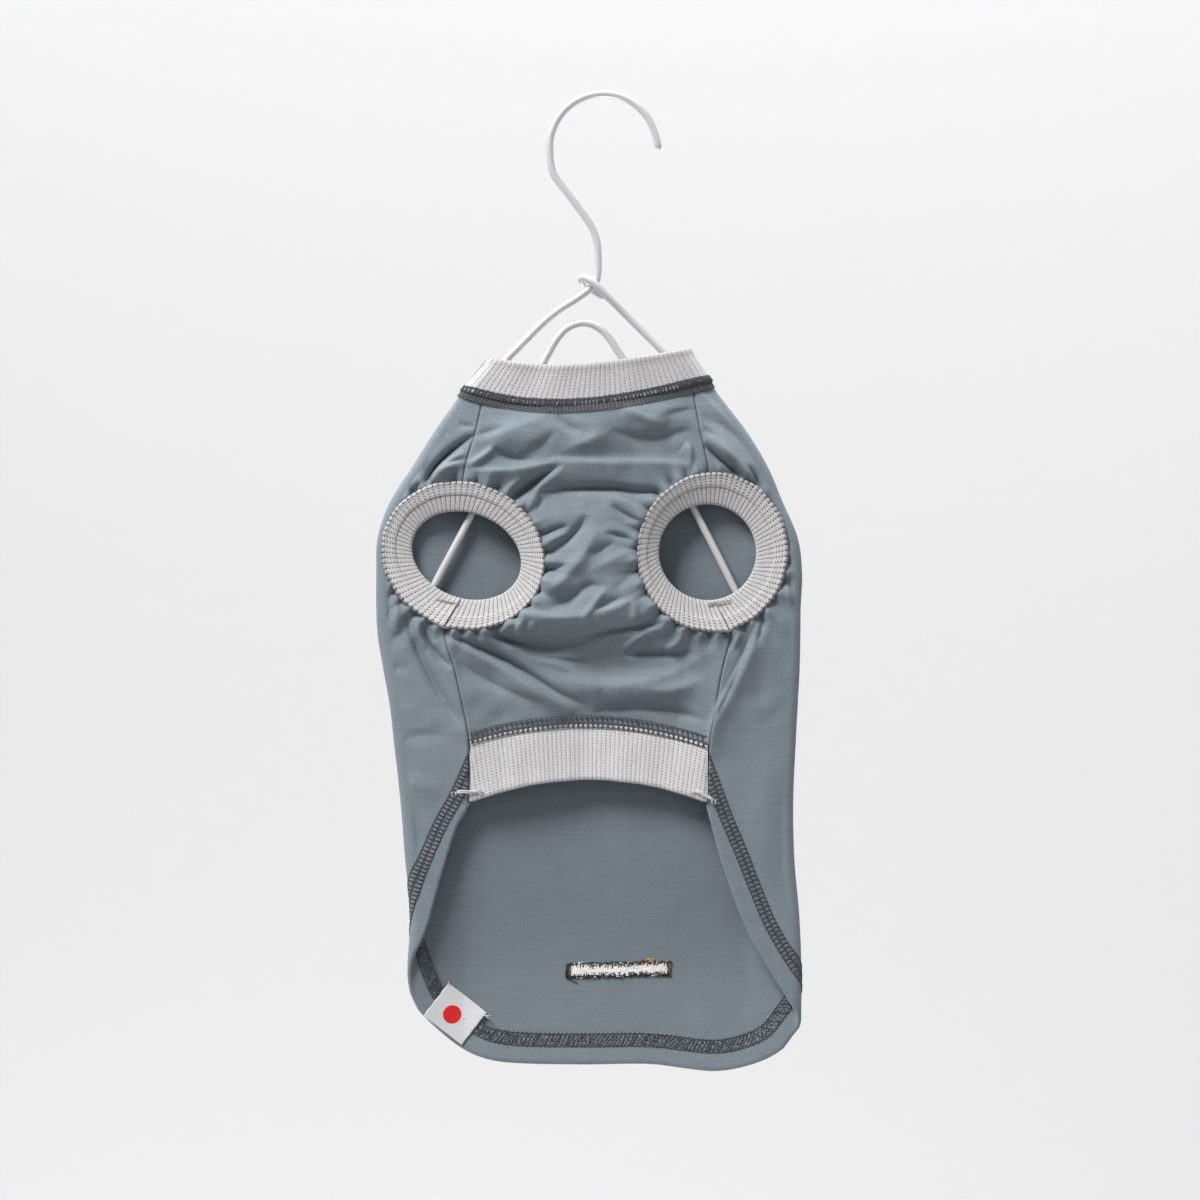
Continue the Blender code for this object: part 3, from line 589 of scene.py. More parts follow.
RIGHT_GATHERS = [Gather(*row) for row in (
    (178, 1.5, 8, -1.2), (171, 1.8, 11, 0.9), (163, 1.7, 11, -1.3), (155, 2.0, 13, 0.9),
    (147, 1.6, 9, -1.3), (140, 1.5, 8, 0.8), (134, 1.4, 9, -1.3), (127, 1.4, 7, 0.8),
    (121, 1.3, 7, -1.1), (115, 1.4, 7, 0.8), (109, 1.2, 6, -0.9), (102, 1.5, 8, 0.7),
    (94, 1.3, 6, -0.7), (85, 1.5, 6, 0.5), (76, 1.4, 8, -0.8), (67, 1.6, 9, 0.7),
    (58, 1.6, 12, -0.9), (49, 1.6, 10, 0.7), (40, 1.5, 9, -0.9), (31, 1.4, 7, 0.7),
    (23, 1.3, 5, -0.8), (15, 1.3, 5, 0.6), (8, 1.2, 4, -0.8), (0, 1.3, 4, 0.7),
    (-7, 1.3, 5, -0.9), (-15, 1.5, 7, 0.9), (-23, 1.5, 8, -1.1), (-31, 1.6, 9, 0.8),
    (-39, 1.5, 9, -1.0), (-47, 1.5, 11, 0.8), (-54, 1.5, 12, -1.2), (-61, 1.5, 12, 0.9),
    (-68, 1.4, 10, -1.1), (-75, 1.3, 8, 0.8), (-81, 1.2, 8, -1.0), (-87, 1.3, 8, 0.8),
    (-93, 1.2, 7, -1.1), (-99, 1.2, 7, 0.7), (-105, 1.2, 7, -1.1), (-111, 1.3, 7, 0.8),
    (-117, 1.4, 8, -1.2), (-124, 1.8, 10, 1.0), (-131, 1.6, 9, -1.4), (-139, 1.9, 12, 0.9),
    (-148, 1.6, 9, -1.1), (-157, 1.9, 10, 0.8), (-166, 1.5, 9, -1.2), (-174, 1.6, 9, 0.8),
)]


CREASE_PARTS = 14        # straight parts that each crease's curve is measured by


def crease_lift(x, z, creases):
    """How far a table of creases lifts the cloth at each point."""
    lift = np.zeros(len(x))
    share = np.linspace(0, 1, CREASE_PARTS + 1)
    for crease in creases:
        line_x = ((1 - share) ** 2 * crease.x + 2 * share * (1 - share) * crease.mid_x
                  + share ** 2 * crease.to_x)
        line_z = ((1 - share) ** 2 * crease.z + 2 * share * (1 - share) * crease.mid_z
                  + share ** 2 * crease.to_z)
        reach = 3 * max(crease.above, crease.below)
        near = ((x > line_x.min() - reach) & (x < line_x.max() + reach)
                & (z > line_z.min() - reach) & (z < line_z.max() + reach))
        near_x, near_z = x[near], z[near]
        best = np.full(len(near_x), 1e9)
        height = np.zeros(len(near_x))
        for part in range(CREASE_PARTS):
            run_x, run_z = line_x[part + 1] - line_x[part], line_z[part + 1] - line_z[part]
            length = math.hypot(run_x, run_z)
            at = ((near_x - line_x[part]) * run_x + (near_z - line_z[part]) * run_z) / length ** 2
            at = np.clip(at, 0, 1)
            off_x = near_x - line_x[part] - run_x * at
            off_z = near_z - line_z[part] - run_z * at
            away = np.hypot(off_x, off_z)
            side = (off_z * run_x - off_x * run_z) * (1 if crease.x <= crease.to_x else -1)
            width = np.where(side > 0, crease.above, crease.below)
            taper = np.sin(np.pi * (part + at) / CREASE_PARTS) ** 0.9
            found = away < best
            best = np.where(found, away, best)
            shape = np.exp(-((away ** 2 + 0.3) ** 0.75 - 0.4) / width ** 1.5)
            height = np.where(found, shape * taper, height)
        lift[near] += crease.crest * height
    return lift


def gather_lift(x, z, ring, gathers):
    """The fan of small gathers round a leg ring. Most of each is gone a little way off the
    ring, and the rest runs out over its own reach."""
    turn, outside = ring_frame(x, z, ring)
    mean = math.sqrt(ring.half_width * ring.half_height)
    beyond = np.maximum(outside, 0)
    lift = np.zeros(len(x))
    for gather in gathers:
        gap = (turn - gather.turn + 180) % 360 - 180
        away = np.radians(gap) * (mean + beyond)
        width = gather.width * GATHER_WIDTH * (1 + beyond / gather.reach * 0.7)
        fade = (LONG_GATHER * np.exp(-(beyond / gather.reach) ** 1.5)
                + (1 - LONG_GATHER) * np.exp(-(beyond / SHORT_REACH) ** 1.5))
        lift += gather.lift * GATHER_DEPTH * np.exp(-(abs(away) / width) ** 1.7) * fade
    return lift * np.where(outside < 0, np.exp(-(outside / 1.2) ** 2), 1)


def belly_billow(x, z):
    """How far the belly panel billows out between its side seams."""
    left, right = side_seams(z)
    share = np.clip((x - left) / (right - left), 0, 1)
    quarter, middle, far = (along(BELLY_BILLOW, "z", name, z)
                            for name in ("left", "middle", "right"))
    # A curve through all three, which keeps level past the quarters, and dies at the seams.
    lean = np.clip(4 * share - 2, -1, 1)
    side = np.where(lean < 0, quarter, far)
    out = middle + (side - middle) * lean ** 2 * (3 - 2 * abs(lean))
    return out * np.clip(np.minimum(share, 1 - share) * 7, 0, 1) ** 0.8


def crumple(x, z):
    """Faint unevenness of washed cloth, in no one direction; least on the smooth flaps."""
    dice = random.Random(8)
    lift = np.zeros(len(x))
    for _ in range(16):
        pitch, phase = dice.uniform(5, 15), dice.uniform(0, math.tau)
        turn = math.radians(dice.uniform(0, 180))
        way = (x * math.cos(turn) + z * math.sin(turn)) * math.tau / pitch
        lift += pitch * np.sin(way + phase + 1.6 * np.sin(x / 11 + phase) + np.sin(z / 7))
    busy = np.clip(np.minimum(-128 - z, z + 268) / 12, 0, 1)
    return lift * (0.0012 + 0.0022 * busy)


def belly_y(x, z):
    """Middle of the cloth on the belly side, with its creases and gathers. The creases are
    softer between the rings, and the cloth is pressed flat under each ring."""
    left, right = fold_centres(z)
    flat = np.clip(np.minimum(x - left, right - x) / FOLD_REACH + 0.6, 0, 1)
    softer = 0.35 * np.exp(-((z + 198) / 20) ** 2 - (x / 26) ** 2)
    lift = (1.15 - softer) * crease_lift(x, z, BELLY_CREASES)
    lift = lift + belly_billow(x, z) + crumple(x, z)
    for ring, gathers in zip(RINGS, (LEFT_GATHERS, RIGHT_GATHERS)):
        sunk = 1 / (1 + np.exp((ring_frame(x, z, ring)[1] - 0.4) * 1.6))
        gathered = gather_lift(x, z, ring, gathers) * (1 - 0.4 * sunk)
        lift = lift * (1 - 0.9 * sunk) + gathered - 1.2 * sunk
    return -half_depth(x, z, along(BODY, "z", "bow", z)) - lift * flat


def back_y(x, z):
    """Middle of the cloth on the back, which swings out a little above its hem."""
    left, right = fold_centres(z)
    flat = np.clip(np.minimum(x - left, right - x) / (4 * FOLD_REACH), 0, 1)
    swing = BACK_SWING * np.exp(-((z - BACK_SWING_Z) / 38) ** 2)
    lift = crease_lift(x, z, BACK_CREASES) + 0.6 * crumple(x, z) + swing
    return half_depth(x, z, BACK_BOW) + lift * flat


def shirt_point(round_way, z, out=0.0):
    """A point of the body from its way round the shirt and its height, moved out by out."""
    round_way, z, out = (np.array(part, float)
                         for part in np.broadcast_arrays(round_way, z, out))
    left, right = fold_centres(z)
    past_left = (left - BACK_MIDDLE) - round_way
    past_right = round_way - (right - BACK_MIDDLE)
    x = round_way + BACK_MIDDLE
    y = back_y(x, z) + out
    for past, centre, side in ((past_left, left, -1), (past_right, right, 1)):
        turn = np.clip(past / FOLD_TURN, 0, 1) * np.pi
        folded = (past > 0) & (past <= FOLD_TURN)
        x = np.where(folded, centre + side * (FOLD_REACH + out) * np.sin(turn), x)
        y = np.where(folded, (FOLD_DEPTH + out) * np.cos(turn), y)
        front = past > FOLD_TURN
        front_x = centre - side * (past - FOLD_TURN)
        x = np.where(front, front_x, x)
        if front.any():
            y[front] = belly_y(front_x[front], z[front]) - out[front]
    return np.stack([x, y, z], axis=1)


def seam_way(z, side):
    """The way round the shirt at which a side seam lies, left (-1) or right (1)."""
    fold, seam = fold_centres(z)[side > 0], side_seams(z)[side > 0]
    return (fold - BACK_MIDDLE) + side * FOLD_TURN + (fold - seam)


def cloth_grid(name, columns, rows, place, finish, weld=False):
    """A fine grid of cloth. place() takes shares across and down, and gives points and UV."""
    mesh = bpy.data.meshes.new(name)
    sheet = bmesh.new()
    bmesh.ops.create_grid(sheet, x_segments=columns, y_segments=rows, size=1)
    sheet.to_mesh(mesh)
    sheet.free()
    corners = np.empty(len(mesh.vertices) * 3, np.float32)
    mesh.vertices.foreach_get("co", corners)
    corners = corners.reshape(-1, 3).astype(float)
    points, chart = place((corners[:, 0] + 1) / 2, (1 - corners[:, 1]) / 2)
    mesh.vertices.foreach_set("co", (points * MM).astype(np.float32).ravel())
    vertex = np.empty(len(mesh.loops), np.int32)
    mesh.loops.foreach_get("vertex_index", vertex)
    layer = mesh.uv_layers.new(name="cloth")
    layer.data.foreach_set("uv", chart[vertex].astype(np.float32).ravel())
    if weld:
        closed = bmesh.new()
        closed.from_mesh(mesh)
        bmesh.ops.remove_doubles(closed, verts=closed.verts, dist=1e-6)
        bmesh.ops.holes_fill(closed, edges=closed.edges)
        bmesh.ops.recalc_face_normals(closed, faces=closed.faces)
        closed.to_mesh(mesh)
        closed.free()
    mesh.shade_smooth()
    mesh.materials.append(finish)
    return into_scene(name, mesh)


def give_thickness(piece, thickness, reverse=None):
    """Thickens a sheet on both sides of its middle; its inner side may show a reverse."""
    wall = piece.modifiers.new("thickness", "SOLIDIFY")
    wall.thickness = thickness * MM
    wall.offset = 0
    if reverse:
        piece.data.materials.append(reverse)
        wall.material_offset = 1


def open_for_leg(piece, ring, seam_allowance):
    """Cuts the opening for a leg ring, a seam allowance inside the ring's outer edge."""
    cut = bmesh.new()
    cut.from_mesh(piece.data)
    edge = -seam_allowance

    def outside(point):
        flat = np.array([point]) / MM
        return ring_frame(flat[:, 0], flat[:, 2], ring)[1][0]

    faces = []
    for face in cut.faces:
        middle = face.calc_center_median()
        if middle.y < 0 and outside(middle) < edge:
            faces.append(face)
    bmesh.ops.delete(cut, geom=faces, context="FACES")
    mean = math.sqrt(ring.half_width * ring.half_height)
    centre = Vector((ring.x, 0, ring.z)) * MM
    for vertex in cut.verts:
        if vertex.is_boundary and vertex.co.y < 0:
            away = outside(vertex.co)
            if edge - 2.5 < away < edge + 2.5:
                flat = Vector((vertex.co.x, 0, vertex.co.z)) - centre
                flat *= (mean + edge) / (mean + away)
                vertex.co.x, vertex.co.z = centre.x + flat.x, centre.z + flat.z
    cut.to_mesh(piece.data)
    cut.free()


# === Jersey ===================================================================================
# Fine cotton jersey, dyed a greyed blue. Its wales run up the shirt 0.75 mm apart. The yarn is
# uneven, so faint darker and paler streaks lie along its courses.

def cloth_chart(tree):
    """The chart on each piece of cloth, in millimetres along and across it."""
    return add_node(tree, "UVMap", uv_map="cloth").outputs["UV"]


def shade_colour(tree, shader, tone, shade):
    """Gives the shader a tone that a shade of about 1 makes darker or paler."""
    tint = add_node(tree, "VectorMath", {0: tone, "Scale": shade}, operation="SCALE")
    tree.links.new(tint.outputs["Vector"], shader.inputs["Base Color"])


def fine_bands(tree, chart, direction, pitch, distortion, detail):
    """Bands across a chart at a pitch in millimetres, such as wales or yarns."""
    return add_node(tree, "TexWave", {
        "Vector": chart, "Scale": math.tau / 20 / pitch, "Distortion": distortion,
        "Detail": detail}, bands_direction=direction).outputs["Fac"]


def stretched(tree, chart, across, down):
    """A chart scaled across and along the cloth."""
    return add_node(tree, "Mapping", {"Vector": chart,
                                      "Scale": (across, down, 1)}).outputs["Vector"]


def worked_out(tree, operation, first, second=0.0):
    return add_node(tree, "Math", {0: first, 1: second}, operation=operation).outputs["Value"]


def jersey_finish(name, tone, wale_pitch, course_pitch, loop_height):
    jersey, tree, shader = principled(name, tone, 0.92, {
        "Sheen Weight": 0.18, "Sheen Roughness": 0.5, "Specular IOR Level": 0.25})
    chart = cloth_chart(tree)
    shade = None
    # Streaks along the courses, then along the wales, fine mottling, and faint clouds.
    for across, down, detail, spread in (
            (0.05, 1.4, 4, 0.07), (0.25, 0.02, 2, 0.02), (1.5, 2.0, 3, 0.18),
            (0.03, 0.03, 2, 0.03)):
        streaks = noise(tree, 1, detail, stretched(tree, chart, across, down))
        streaks = fitted(tree, streaks, 0.3, 0.7, 1 - spread, 1 + spread)
        shade = worked_out(tree, "MULTIPLY", shade, streaks) if shade else streaks
    shade_colour(tree, shader, tone, shade)
    loops = worked_out(tree, "MULTIPLY", fine_bands(tree, chart, "X", wale_pitch, 0.3, 1),
                       fine_bands(tree, chart, "Y", course_pitch, 0.3, 1))
    raise_surface(tree, shader, loops, 0.2, loop_height)
    return jersey


jersey = jersey_finish("blue-grey cotton jersey", (0.221, 0.261, 0.293), 0.75, 0.6, 0.00012)
# The reverse shows its courses more than its wales, and its tone is a little darker: partly the
# reverse's own duller look, partly painted shade for the inside of the tube.
shaded_jersey_reverse = jersey_finish("jersey reverse", (0.203, 0.240, 0.270), 1.5, 0.6, 0.00016)


# === Back panel ===============================================================================
# The back is cut in one with both sides. It comes round the side folds to the seams on the
# belly side. Its lower edge is turned up once inside and closed with a coverstitch.

BACK_STRETCHES = (50, 12, 56, 12, 50)    # columns: flap, fold, back, fold, flap
BACK_ROWS = 214
ROLL_ROWS = 4            # rows round the hem's edge, and then with the turned-up cloth
TURNING_ROWS = 14
HEM_TURNING = 12.2       # width of the turned-up cloth
HEM_ROLL = 0.55          # radius of the hem's edge
SEAM_GROOVE = 0.8        # depth and half width of the groove along a seam
SEAM_WIDTH = 0.5
SEAM_TUCK = 0.8          # how far a panel goes on under a band of rib
LEG_TUCK = 4.5


def stretch_of(across):
    """The stretch of the back panel that each column is in, and its share of that."""
    column = across * sum(BACK_STRETCHES)
    starts = np.cumsum((0,) + BACK_STRETCHES)
    stretch = np.clip(np.searchsorted(starts, column, side="right") - 1, 0, 4)
    share = (column - starts[stretch]) / np.array(BACK_STRETCHES)[stretch]
    # The flaps' columns are closer at the seams.
    share = np.where(stretch == 0, share ** 1.3, share)
    return stretch, np.where(stretch == 4, 1 - (1 - share) ** 1.3, share)


def panel_way(across, z):
    """The way round the shirt of a column of the back panel, at a height."""
    stretch, share = stretch_of(across)
    left, right = fold_centres(z)
    left_edge, right_edge = left - BACK_MIDDLE, right - BACK_MIDDLE
    ends = (
        (seam_way(z, -1), left_edge - FOLD_TURN),
        (left_edge - FOLD_TURN, left_edge),
        (left_edge, right_edge),
        (right_edge, right_edge + FOLD_TURN),
        (right_edge + FOLD_TURN, seam_way(z, 1)),
    )
    way = np.zeros(len(across))
    for number, (start, end) in enumerate(ends):
        way = np.where(stretch == number, start + (end - start) * share, way)
    return way


def panel_top(across):
    """Height of the neck seam over each column of the back panel."""
    stretch, share = stretch_of(across)
    back_share = np.choose(stretch, (0 * share, share, 0 * share + 1, 1 - share, 0 * share))
    z = np.full(len(across), NECK_SEAM.left_z)
    for _ in range(3):
        x = shirt_point(panel_way(across, z), z)[:, 0]
        front, back = edge_z(NECK_SEAM, x), edge_z(NECK_SEAM_BACK, x)
        z = front + (back - front) * back_share
    return z


def panel_hem(across):
    """Height of the hem under each column of the back panel."""
    stretch, share = stretch_of(across)
    left, right = fold_centres(BACK_HEM[0].z)
    turned = (
        along(FLAP_HEM, "share", "left_z", share),
        along(FOLD_HEM, "share", "left_z", share),
        along(BACK_HEM, "x", "z", left + (right - left) * share),
        along(FOLD_HEM, "share", "right_z", 1 - share),
        along(FLAP_HEM, "share", "right_z", 1 - share),
    )
    return np.choose(stretch, turned)


def rounded_off(values, count):
    """Evens out a row of values over an odd count of them, with its ends held."""
    window = np.hanning(count) / np.hanning(count).sum()
    return np.convolve(np.pad(values, count // 2, mode="edge"), window, "valid")


def hem_line(across, inset):
    """Points at a distance inside the hem's edge, as the way round the shirt and height."""
    fine = np.linspace(0, 1, 1201)
    fine_z = panel_hem(fine)
    fine_way = panel_way(fine, fine_z)
    way_step, z_step = (rounded_off(np.gradient(line), 41) for line in (fine_way, fine_z))
    length = np.hypot(way_step, z_step)
    way = fine_way - z_step / length * inset
    z = fine_z + way_step / length * inset
    return np.interp(across, fine, way), np.interp(across, fine, z)


def back_panel_place(across, down):
    rows = down * (BACK_ROWS + TURNING_ROWS)
    main = np.clip(rows / BACK_ROWS, 0, 1)
    top, hem = panel_top(across) + SEAM_TUCK, panel_hem(across)
    z = top + (hem - top) * main
    way = panel_way(across, z)
    groove = np.minimum(abs(way - seam_way(z, -1)), abs(way - seam_way(z, 1)))
    out = -SEAM_GROOVE * np.exp(-(groove / SEAM_WIDTH) ** 2)
    turned = np.clip(rows - BACK_ROWS, 0, TURNING_ROWS)
    roll = np.clip(turned / ROLL_ROWS, 0, 1) * np.pi
    climb = np.clip((turned - ROLL_ROWS) / (TURNING_ROWS - ROLL_ROWS), 0, 1)
    hem_way, hem_z = hem_line(across, 0.0)
    up_way, up_z = hem_line(across, 1.0)
    inset = HEM_TURNING * climb - HEM_ROLL * np.sin(roll)
    is_turned = turned > 0
    way = np.where(is_turned, hem_way + (up_way - hem_way) * inset, way)
    z = np.where(is_turned, hem_z + (up_z - hem_z) * inset, z)
    out = np.where(is_turned, -HEM_ROLL * (1 - np.cos(roll)), out)
    return shirt_point(way, z, out), np.stack([way, z], axis=1)


def sew_back_panel():
    panel = cloth_grid("back_panel_cloth", sum(BACK_STRETCHES), BACK_ROWS + TURNING_ROWS,
                       back_panel_place, jersey)
    for ring in RINGS:
        open_for_leg(panel, ring, LEG_TUCK)
    panel.data.flip_normals()
    give_thickness(panel, JERSEY, shaded_jersey_reverse)
    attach(panel, "root")
    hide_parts("back_panel")


sew_back_panel()


# === Belly panel ==============================================================================
# A narrower jersey panel between the side seams, from the neck to the belly rib. It is eased
# onto the leg rings, so it gathers there and hangs slack in soft cross folds between them.

BELLY_COLUMNS = 200
BELLY_ROWS = 244


def belly_x(across, z):
    """Where a column of the panel passes; the columns crowd together towards the seams."""
    left, right = side_seams(z)
    return left + (right - left) * (across - np.sin(2 * np.pi * across) / 15)


def belly_panel_place(across, down):
    top = np.full(len(across), NECK_SEAM.left_z)
    bottom = np.full(len(across), BELLY_SEAM.left_z)
    for _ in range(3):
        top = edge_z(NECK_SEAM, belly_x(across, top))
        bottom = edge_z(BELLY_SEAM, belly_x(across, bottom))
    z = top + SEAM_TUCK + (bottom - top - 2 * SEAM_TUCK) * down
    x = belly_x(across, z)
    left, right = belly_x(0, z), belly_x(1, z)
    groove = np.minimum(x - left, right - x)
    y = belly_y(x, z) + SEAM_GROOVE * np.exp(-(groove / SEAM_WIDTH) ** 2)
    return np.stack([x, y, z], axis=1), np.stack([x, z], axis=1)


def sew_belly_panel():
    panel = cloth_grid("belly_panel_cloth", BELLY_COLUMNS, BELLY_ROWS, belly_panel_place,
                       jersey)
    for ring in RINGS:
        open_for_leg(panel, ring, LEG_TUCK)
    give_thickness(panel, JERSEY, shaded_jersey_reverse)
    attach(panel, "root")
    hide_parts("belly_panel")


sew_belly_panel()


# === Rib knit =================================================================================
# Undyed off-white 1x1 rib. Each wale is a low ridge in the mesh; the finish paints shade into the
# grooves in short dashes, where the purl loops lie recessed, and adds the slanting loops of the
# knit.

RIB = 1.8                # thickness of a rib band, two layers
WALE_RELIEF = 0.045
COURSE = 1.3             # height of one course of loops
WALE_COLUMNS = 8


def rib_finish(name, tone, solid_from=1e3, opening=0.15, painted_shade_at=1e3):
    """Rib knit of one tone. The grooves between the wales are painted darker as shade, in
    dashes where the purl loops lie. Where it is stretched, its purl loops show as shaded dots
    between the wales; past solid_from along the wales its grooves are closed and unbroken, and
    along solid_from a faint painted shadow marks the ledge's step. The last argument gives a
    place along the wales where a band is painted darker: painted shade that dims the
    highlight on a rolled edge."""
    rib, tree, shader = principled(name, tone, 0.9, {
        "Sheen Weight": 0.1, "Sheen Roughness": 0.5, "Specular IOR Level": 0.25})
    chart = cloth_chart(tree)

    def number(operation, first, second=0.0):
        return worked_out(tree, operation, first, second)

    def eased(value, low, high, to_low, to_high):
        return fitted(tree, value, low, high, to_low, to_high,
                      interpolation_type="SMOOTHSTEP")

    def from_line(place):
        """Distance along the wales from a line across them."""
        return number("ABSOLUTE", number("SUBTRACT", along_wale, place))

    parts = add_node(tree, "SeparateXYZ", {"Vector": chart})
    wale, along_wale = parts.outputs["X"], parts.outputs["Y"]
    crest = number("COSINE", number("MULTIPLY", wale, math.tau))
    row = add_node(tree, "TexWhiteNoise", {"W": number("ROUND", wale)},
                   noise_dimensions="1D")
    loops = number("ADD", number("MULTIPLY", along_wale, math.tau / COURSE),
                   number("MULTIPLY", row.outputs["Value"], 0.9))
    beat = number("SINE", loops)
    past = eased(along_wale, solid_from - 0.3, solid_from + 0.3, 0, 1)
    dash = number("MAXIMUM", eased(beat, -0.45, 0.4, 0.10, 1),
                  number("MULTIPLY", past, 0.85))
    # The grooves, and the stretched gaps between the wales, are painted darker: painted shade of
    # the recessed purl loops.
    groove = number("MULTIPLY", eased(crest, 0.84, 0.99, 0, 1), dash)
    opened = number("MULTIPLY", eased(crest, 0.05, 0.85, 0, opening),
                    eased(beat, 0.1, 0.8, 0, 1))
    opened = number("MULTIPLY", opened, number("SUBTRACT", 1.0, past))
    dark = number("MAXIMUM", groove, opened)
    slant = number("ABSOLUTE", number("SUBTRACT", number("FRACT", wale), 0.5))
    knit = number("SINE", number("ADD", loops, number("MULTIPLY", slant, 7.0)))
    fluff = noise(tree, 0.9, 4, stretched(tree, chart, 2, 1))
    # Painted shade: the mask of the grooves and gaps darkens the tone, down to a fifth of it.
    shade = eased(dark, 0, 1, 1, 0.20)
    for darker in (eased(fluff, 0.3, 0.7, 0.90, 1.07),
                   eased(knit, -1, 1, 0.93, 1.03),
                   # Painted shade: a faint dark line along the ledge's step, and a darker band
                   # along a rolled edge that dims its highlight.
                   eased(from_line(solid_from), 0.1, 0.5, 0.93, 1),
                   eased(from_line(painted_shade_at), 0.8, 2.2, 0.72, 1)):
        shade = number("MULTIPLY", shade, darker)
    shade_colour(tree, shader, tone, shade)
    height = number("SUBTRACT", number("MULTIPLY", knit, 0.35), number("MULTIPLY", dark, 1.4))
    raise_surface(tree, shader, height, 0.5, 0.00015)
    return rib


rib_knit = rib_finish("off-white rib knit", (0.70, 0.685, 0.69))


def wale_relief(wale):
    """Height of the knit across its wales: broad round ridges with narrow grooves."""
    return WALE_RELIEF * (1 - 2 * ((1 + np.cos(math.tau * wale)) / 2) ** 2.6)


# === Leg rings ================================================================================
# Each is a strip of rib folded in half, with its cut edges sewn round the opening and its fold
# at the hole. The seam allowance thickens its outer half. The ring dips inwards to the hole.

RING_ROUND = 70          # rows round the band's closed section
RING_DIP = 3.6
RING_LEDGE = 0.46        # where the seam allowance under the band ends, of its width
RING_FRONT = 0.62        # how much of the band's section is its front layer
RING_CHART = 23.4        # length of the band's section in its chart
RIM_ROLL = 0.12          # how much of its width each rolled edge takes
HOLE_ROLL = 0.10
# The rings are of the same rib as the belly rib; their tone is set darker as painted shade, and
# their outer rolled edge is painted darker still to dim its highlight.
shaded_ring_knit = rib_finish("off-white rib knit of the rings", (0.62, 0.605, 0.61),
                       RING_LEDGE * RING_FRONT * RING_CHART, 0.75, painted_shade_at=0)


def ellipse_turn(half_width, half_height, tilt, direction):
    """The turn of an ellipse's own angle that points in a direction, in radians."""
    seen = math.radians(direction - tilt)
    return math.atan2(math.sin(seen) / half_height, math.cos(seen) / half_width)


def ring_outlines(ring, share):
    """Outer and hole edge points at shares round the ring, starting at its joint."""
    edges = []
    for x, z, wide, high, direction in (
            (ring.x, ring.z, ring.half_width, ring.half_height, ring.joint),
            (ring.hole_x, ring.hole_z, ring.hole_half_width, ring.hole_half_height,
             ring.hole_joint)):
        turn = ellipse_turn(wide, high, ring.tilt, direction) + math.tau * share
        tilt = math.radians(ring.tilt)
        edges.append((x + wide * np.cos(turn) * math.cos(tilt)
                      - high * np.sin(turn) * math.sin(tilt),
                      z + wide * np.cos(turn) * math.sin(tilt)
                      + high * np.sin(turn) * math.cos(tilt)))
    return edges


def ring_point(ring, share, across, lift):
    """A point of a ring: share round it, across from its outer edge to its hole, and lift."""
    (outer_x, outer_z), (hole_x, hole_z) = ring_outlines(ring, share)
    x, z = outer_x + (hole_x - outer_x) * across, outer_z + (hole_z - outer_z) * across
    y = -half_depth(x, z, along(BODY, "z", "bow", z)) + RING_DIP * across - lift
    return np.stack([x, y, z], axis=1)


def ring_place(ring):
    def place(share, section):
        front = section < RING_FRONT
        across = np.where(front, section / RING_FRONT, (1 - section) / (1 - RING_FRONT))
        across = np.clip(across, 0, 1)
        # Both edges are rolled. The front has a low rim at the outer edge, and is thicker as
        # far as the ledge, where a fine line marks the end of the seam allowance.
        outer_roll = np.sqrt(1 - (1 - np.clip(across / RIM_ROLL, 0, 1)) ** 2)
        hole_roll = np.sqrt(1 - np.clip((across - 1 + HOLE_ROLL) / HOLE_ROLL, 0, 1) ** 2)
        upright = ring.joint + 360 * share - 105
        upper = (1 + np.cos(np.radians(upright))) / 2
        step = 1 / (1 + np.exp((across - RING_LEDGE) / 0.02))
        line = np.exp(-((across - RING_LEDGE - 0.02) / 0.03) ** 2) * (0.03 + 0.16 * upper)
        rim = np.exp(-((across - 0.07) / 0.06) ** 2)
        top = 1.05 + 0.5 * step + 0.20 * rim + 0.2 * np.sin(np.pi * across) - line
        wale = share * ring.wales
        knit = wale_relief(wale) * (1 + 3 * rim)
        slack = 0.25 * np.sin(7 * math.tau * share + 1) + 0.18 * np.sin(17 * math.tau * share)
        overlap = 0.55 * np.exp(-((1 - share % 1) * ring.wales / 1.8) ** 2)
        lift = np.where(front, top + knit + overlap, -0.5)
        lift = lift * outer_roll * hole_roll + 0.3 * slack * across * (1 - across)
        from_joint = np.minimum(share % 1, 1 - share % 1) * ring.wales
        edge = (0.010 * np.sin(13 * math.tau * share)
                - 0.09 * np.exp(-from_joint / 1.1)) * (1 - across)
        points = ring_point(ring, share, across + edge, lift)
        return points, np.stack([wale, section * RING_CHART], axis=1)
    return place


def sew_rings():
    for ring in RINGS:
        band = cloth_grid(ring.name + "_band", ring.wales * WALE_COLUMNS, RING_ROUND,
                          ring_place(ring), shaded_ring_knit, weld=True)
        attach(band, "root")
        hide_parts(ring.name)


sew_rings()


# === Collar ===================================================================================
# A band of the same rib round the neck, folded along its top edge. Its two layers are sewn to
# the neck edge together.

COLLAR_WALES = 94
COLLAR_ROUND = 46        # rows round the band's closed section
COLLAR_GAP = 0.45        # between its cut edges and the middle of the seam
COLLAR_CHART = 36.0      # length of the band's section in its chart
BAND_LAYER = 0.45        # how much of a folded band's section is one of its two layers
# The collar is of the same rib; its tone is set darker as painted shade, and its folded top edge
# is painted darker still to dim its highlight.
shaded_collar_knit = rib_finish("off-white rib knit of the collar", (0.58, 0.567, 0.575),
                         painted_shade_at=COLLAR_CHART / 2)


